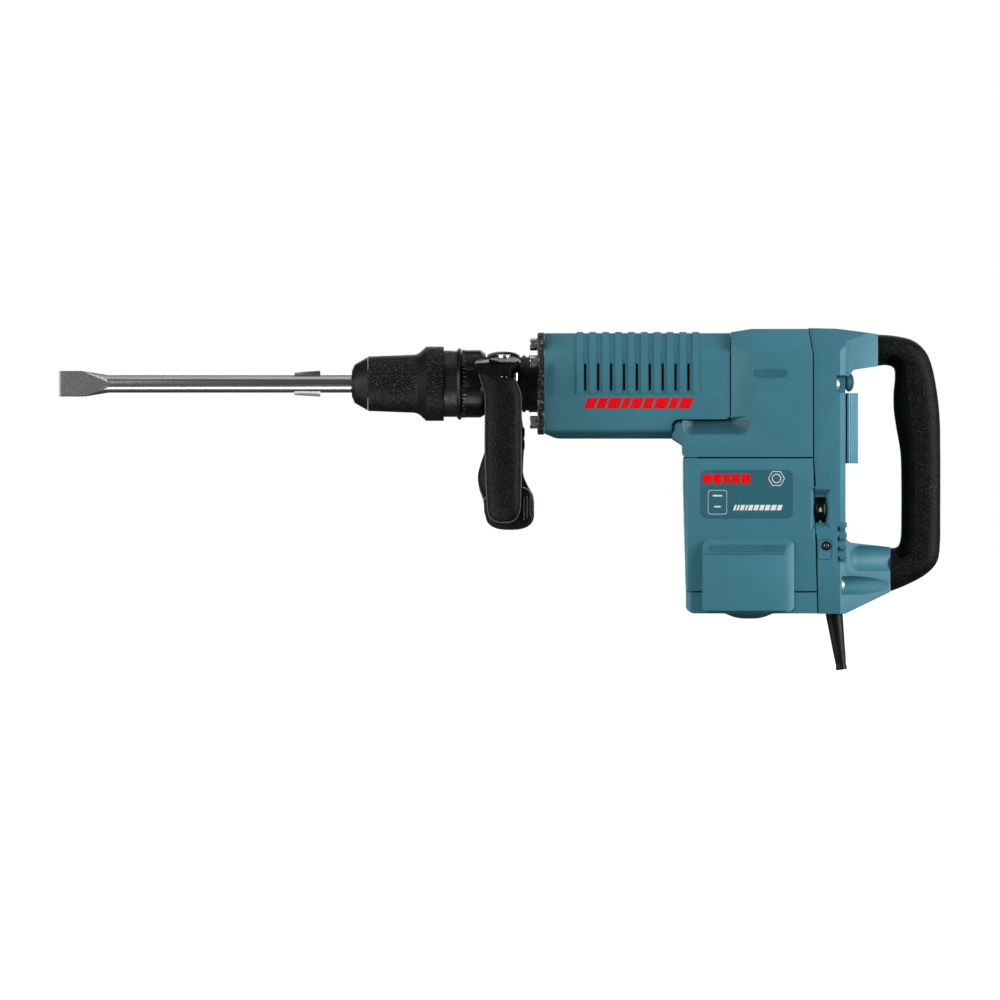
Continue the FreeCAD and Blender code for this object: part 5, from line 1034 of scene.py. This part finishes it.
def ring_ticks():
    """Fine position ticks round the angle ring, between its notches."""
    radius, count, front, half = 34.1, 48, 404.8, 0.22
    vertices, faces = [], []
    for tick in range(count):
        angle = 2 * math.pi * (tick + 0.5) / count
        back = front + (3.4 if tick % 4 == 2 else 2)
        out = Vector((0, math.cos(angle), math.sin(angle)))
        along = Vector((0, -math.sin(angle), math.cos(angle)))
        start = len(vertices)
        for reach in (radius - 0.25, radius + 0.14):
            for x, side in ((front, -half), (back, -half), (back, half), (front, half)):
                vertices.append((Vector((x, 0, 0)) + out * reach + along * side) * MM)
        faces += [tuple(start + i for i in face) for face in
                  ((0, 1, 2, 3), (7, 6, 5, 4), (0, 4, 5, 1), (1, 5, 6, 2), (2, 6, 7, 3), (3, 7, 4, 0))]
    piece("angle_ticks", vertices, faces, "grey_mark", "angle_ring", "holder_black", 20)


rear_grip()
front_grip()
grip_rim()
clamp_block()
clamp_bolt_crown()
handle_arm()
surface_pads()
slanted_bars("red_bar", "red", 526, -25.2, -14.3, 4, 2, (10, 8.6, 12, 7, 10.4, 9, 13, 8, 12), BARREL_SIDE)
label_plate()
dial_numbers()
lamp_surround()
seam_gaskets()
seam_strips()
chin_wedges()
vent_baffles()
rear_louvres()
rocker_boot()
cord_sleeve()
ring_ticks()


# ---------------- camera, stage and lights
def studio():
    """Long-lens camera square to the left side, a pale floor, softboxes, and two strips for the shank."""
    scene = bpy.context.scene
    distance, aim_x, aim_z = 24.05, 0.442, -0.1165
    camera = bpy.data.cameras.new("camera")
    camera.lens = 864
    camera.sensor_width = 36
    camera.clip_end = 200
    eye = bpy.data.objects.new("camera", camera)
    eye.location = (aim_x, -distance, aim_z)
    eye.rotation_euler = (math.pi / 2, 0, 0)
    scene.collection.objects.link(eye)
    scene.camera = eye
    scene.view_settings.view_transform = "Standard"

    low, high = cad_box
    half, level = 60, low.z - 0.012
    corners = ((-half, -half), (half, -half), (half, half), (-half, half))
    mesh = bpy.data.meshes.new("floor")
    mesh.from_pydata([(x, y, level) for x, y in corners], [], [(0, 1, 2, 3)])
    floor = bpy.data.objects.new("floor", mesh)
    scene.collection.objects.link(floor)
    paint = Paint("pale_floor", (0.9, 0.9, 0.9, 1), 0.9)
    paint.shader.inputs["Emission Color"].default_value = (1, 1, 1, 1)
    paint.shader.inputs["Emission Strength"].default_value = 1.0
    mesh.materials.append(paint.material)
    floor.visible_diffuse = False
    floor.visible_glossy = False

    world = bpy.data.worlds.new("studio")
    scene.world = world
    world.use_nodes = True
    tree = world.node_tree
    tree.nodes.clear()
    output = tree.nodes.new("ShaderNodeOutputWorld")
    seen, cast = tree.nodes.new("ShaderNodeBackground"), tree.nodes.new("ShaderNodeBackground")
    seen.inputs["Color"].default_value = (1, 1, 1, 1)
    cast.inputs["Color"].default_value = (0.95, 0.98, 1, 1)
    cast.inputs["Strength"].default_value = 0.12
    path, mix = tree.nodes.new("ShaderNodeLightPath"), tree.nodes.new("ShaderNodeMixShader")
    tree.links.new(path.outputs["Is Camera Ray"], mix.inputs["Fac"])
    tree.links.new(cast.outputs["Background"], mix.inputs[1])
    tree.links.new(seen.outputs["Background"], mix.inputs[2])
    tree.links.new(mix.outputs["Shader"], output.inputs["Surface"])

    middle = (low + high) / 2
    for name, offset, size, power in (("left_softbox", (-2.5, -0.9, 0.2), (1.5, 2.0), 54),
                                      ("right_softbox", (2.5, -0.9, 0.3), (1.5, 2.0), 106),
                                      ("front_softbox", (-1.9, -2.8, 0.9), (1.2, 1.6), 48),
                                      ("top_softbox", (0.2, 0.9, 3.0), (2.6, 2.0), 12),
                                      ("back_softbox", (0.3, 3.4, 0.8), (3.2, 2.4), 60)):
        softbox(name, middle + Vector(offset), middle, size, power)
    shank = Vector((0.19, 0, 0))
    for name, offset, size, power in (("under_strip", (0, -0.2, -0.26), (0.5, 0.2), 1.5),
                                      ("over_strip", (0, -0.1, 0.4), (0.5, 0.2), 0.4)):
        strip = softbox(name, shank + Vector(offset), shank, size, power)
        strip.visible_diffuse = strip.visible_camera = False


def softbox(name, place, target, size, power):
    """Area light at a place, facing a target."""
    light = bpy.data.lights.new(name, "AREA")
    light.shape = "RECTANGLE"
    light.size, light.size_y = size
    light.energy = power
    lamp = bpy.data.objects.new(name, light)
    lamp.location = place
    lamp.rotation_euler = (target - place).to_track_quat("-Z", "Y").to_euler()
    bpy.context.scene.collection.objects.link(lamp)
    return lamp


studio()
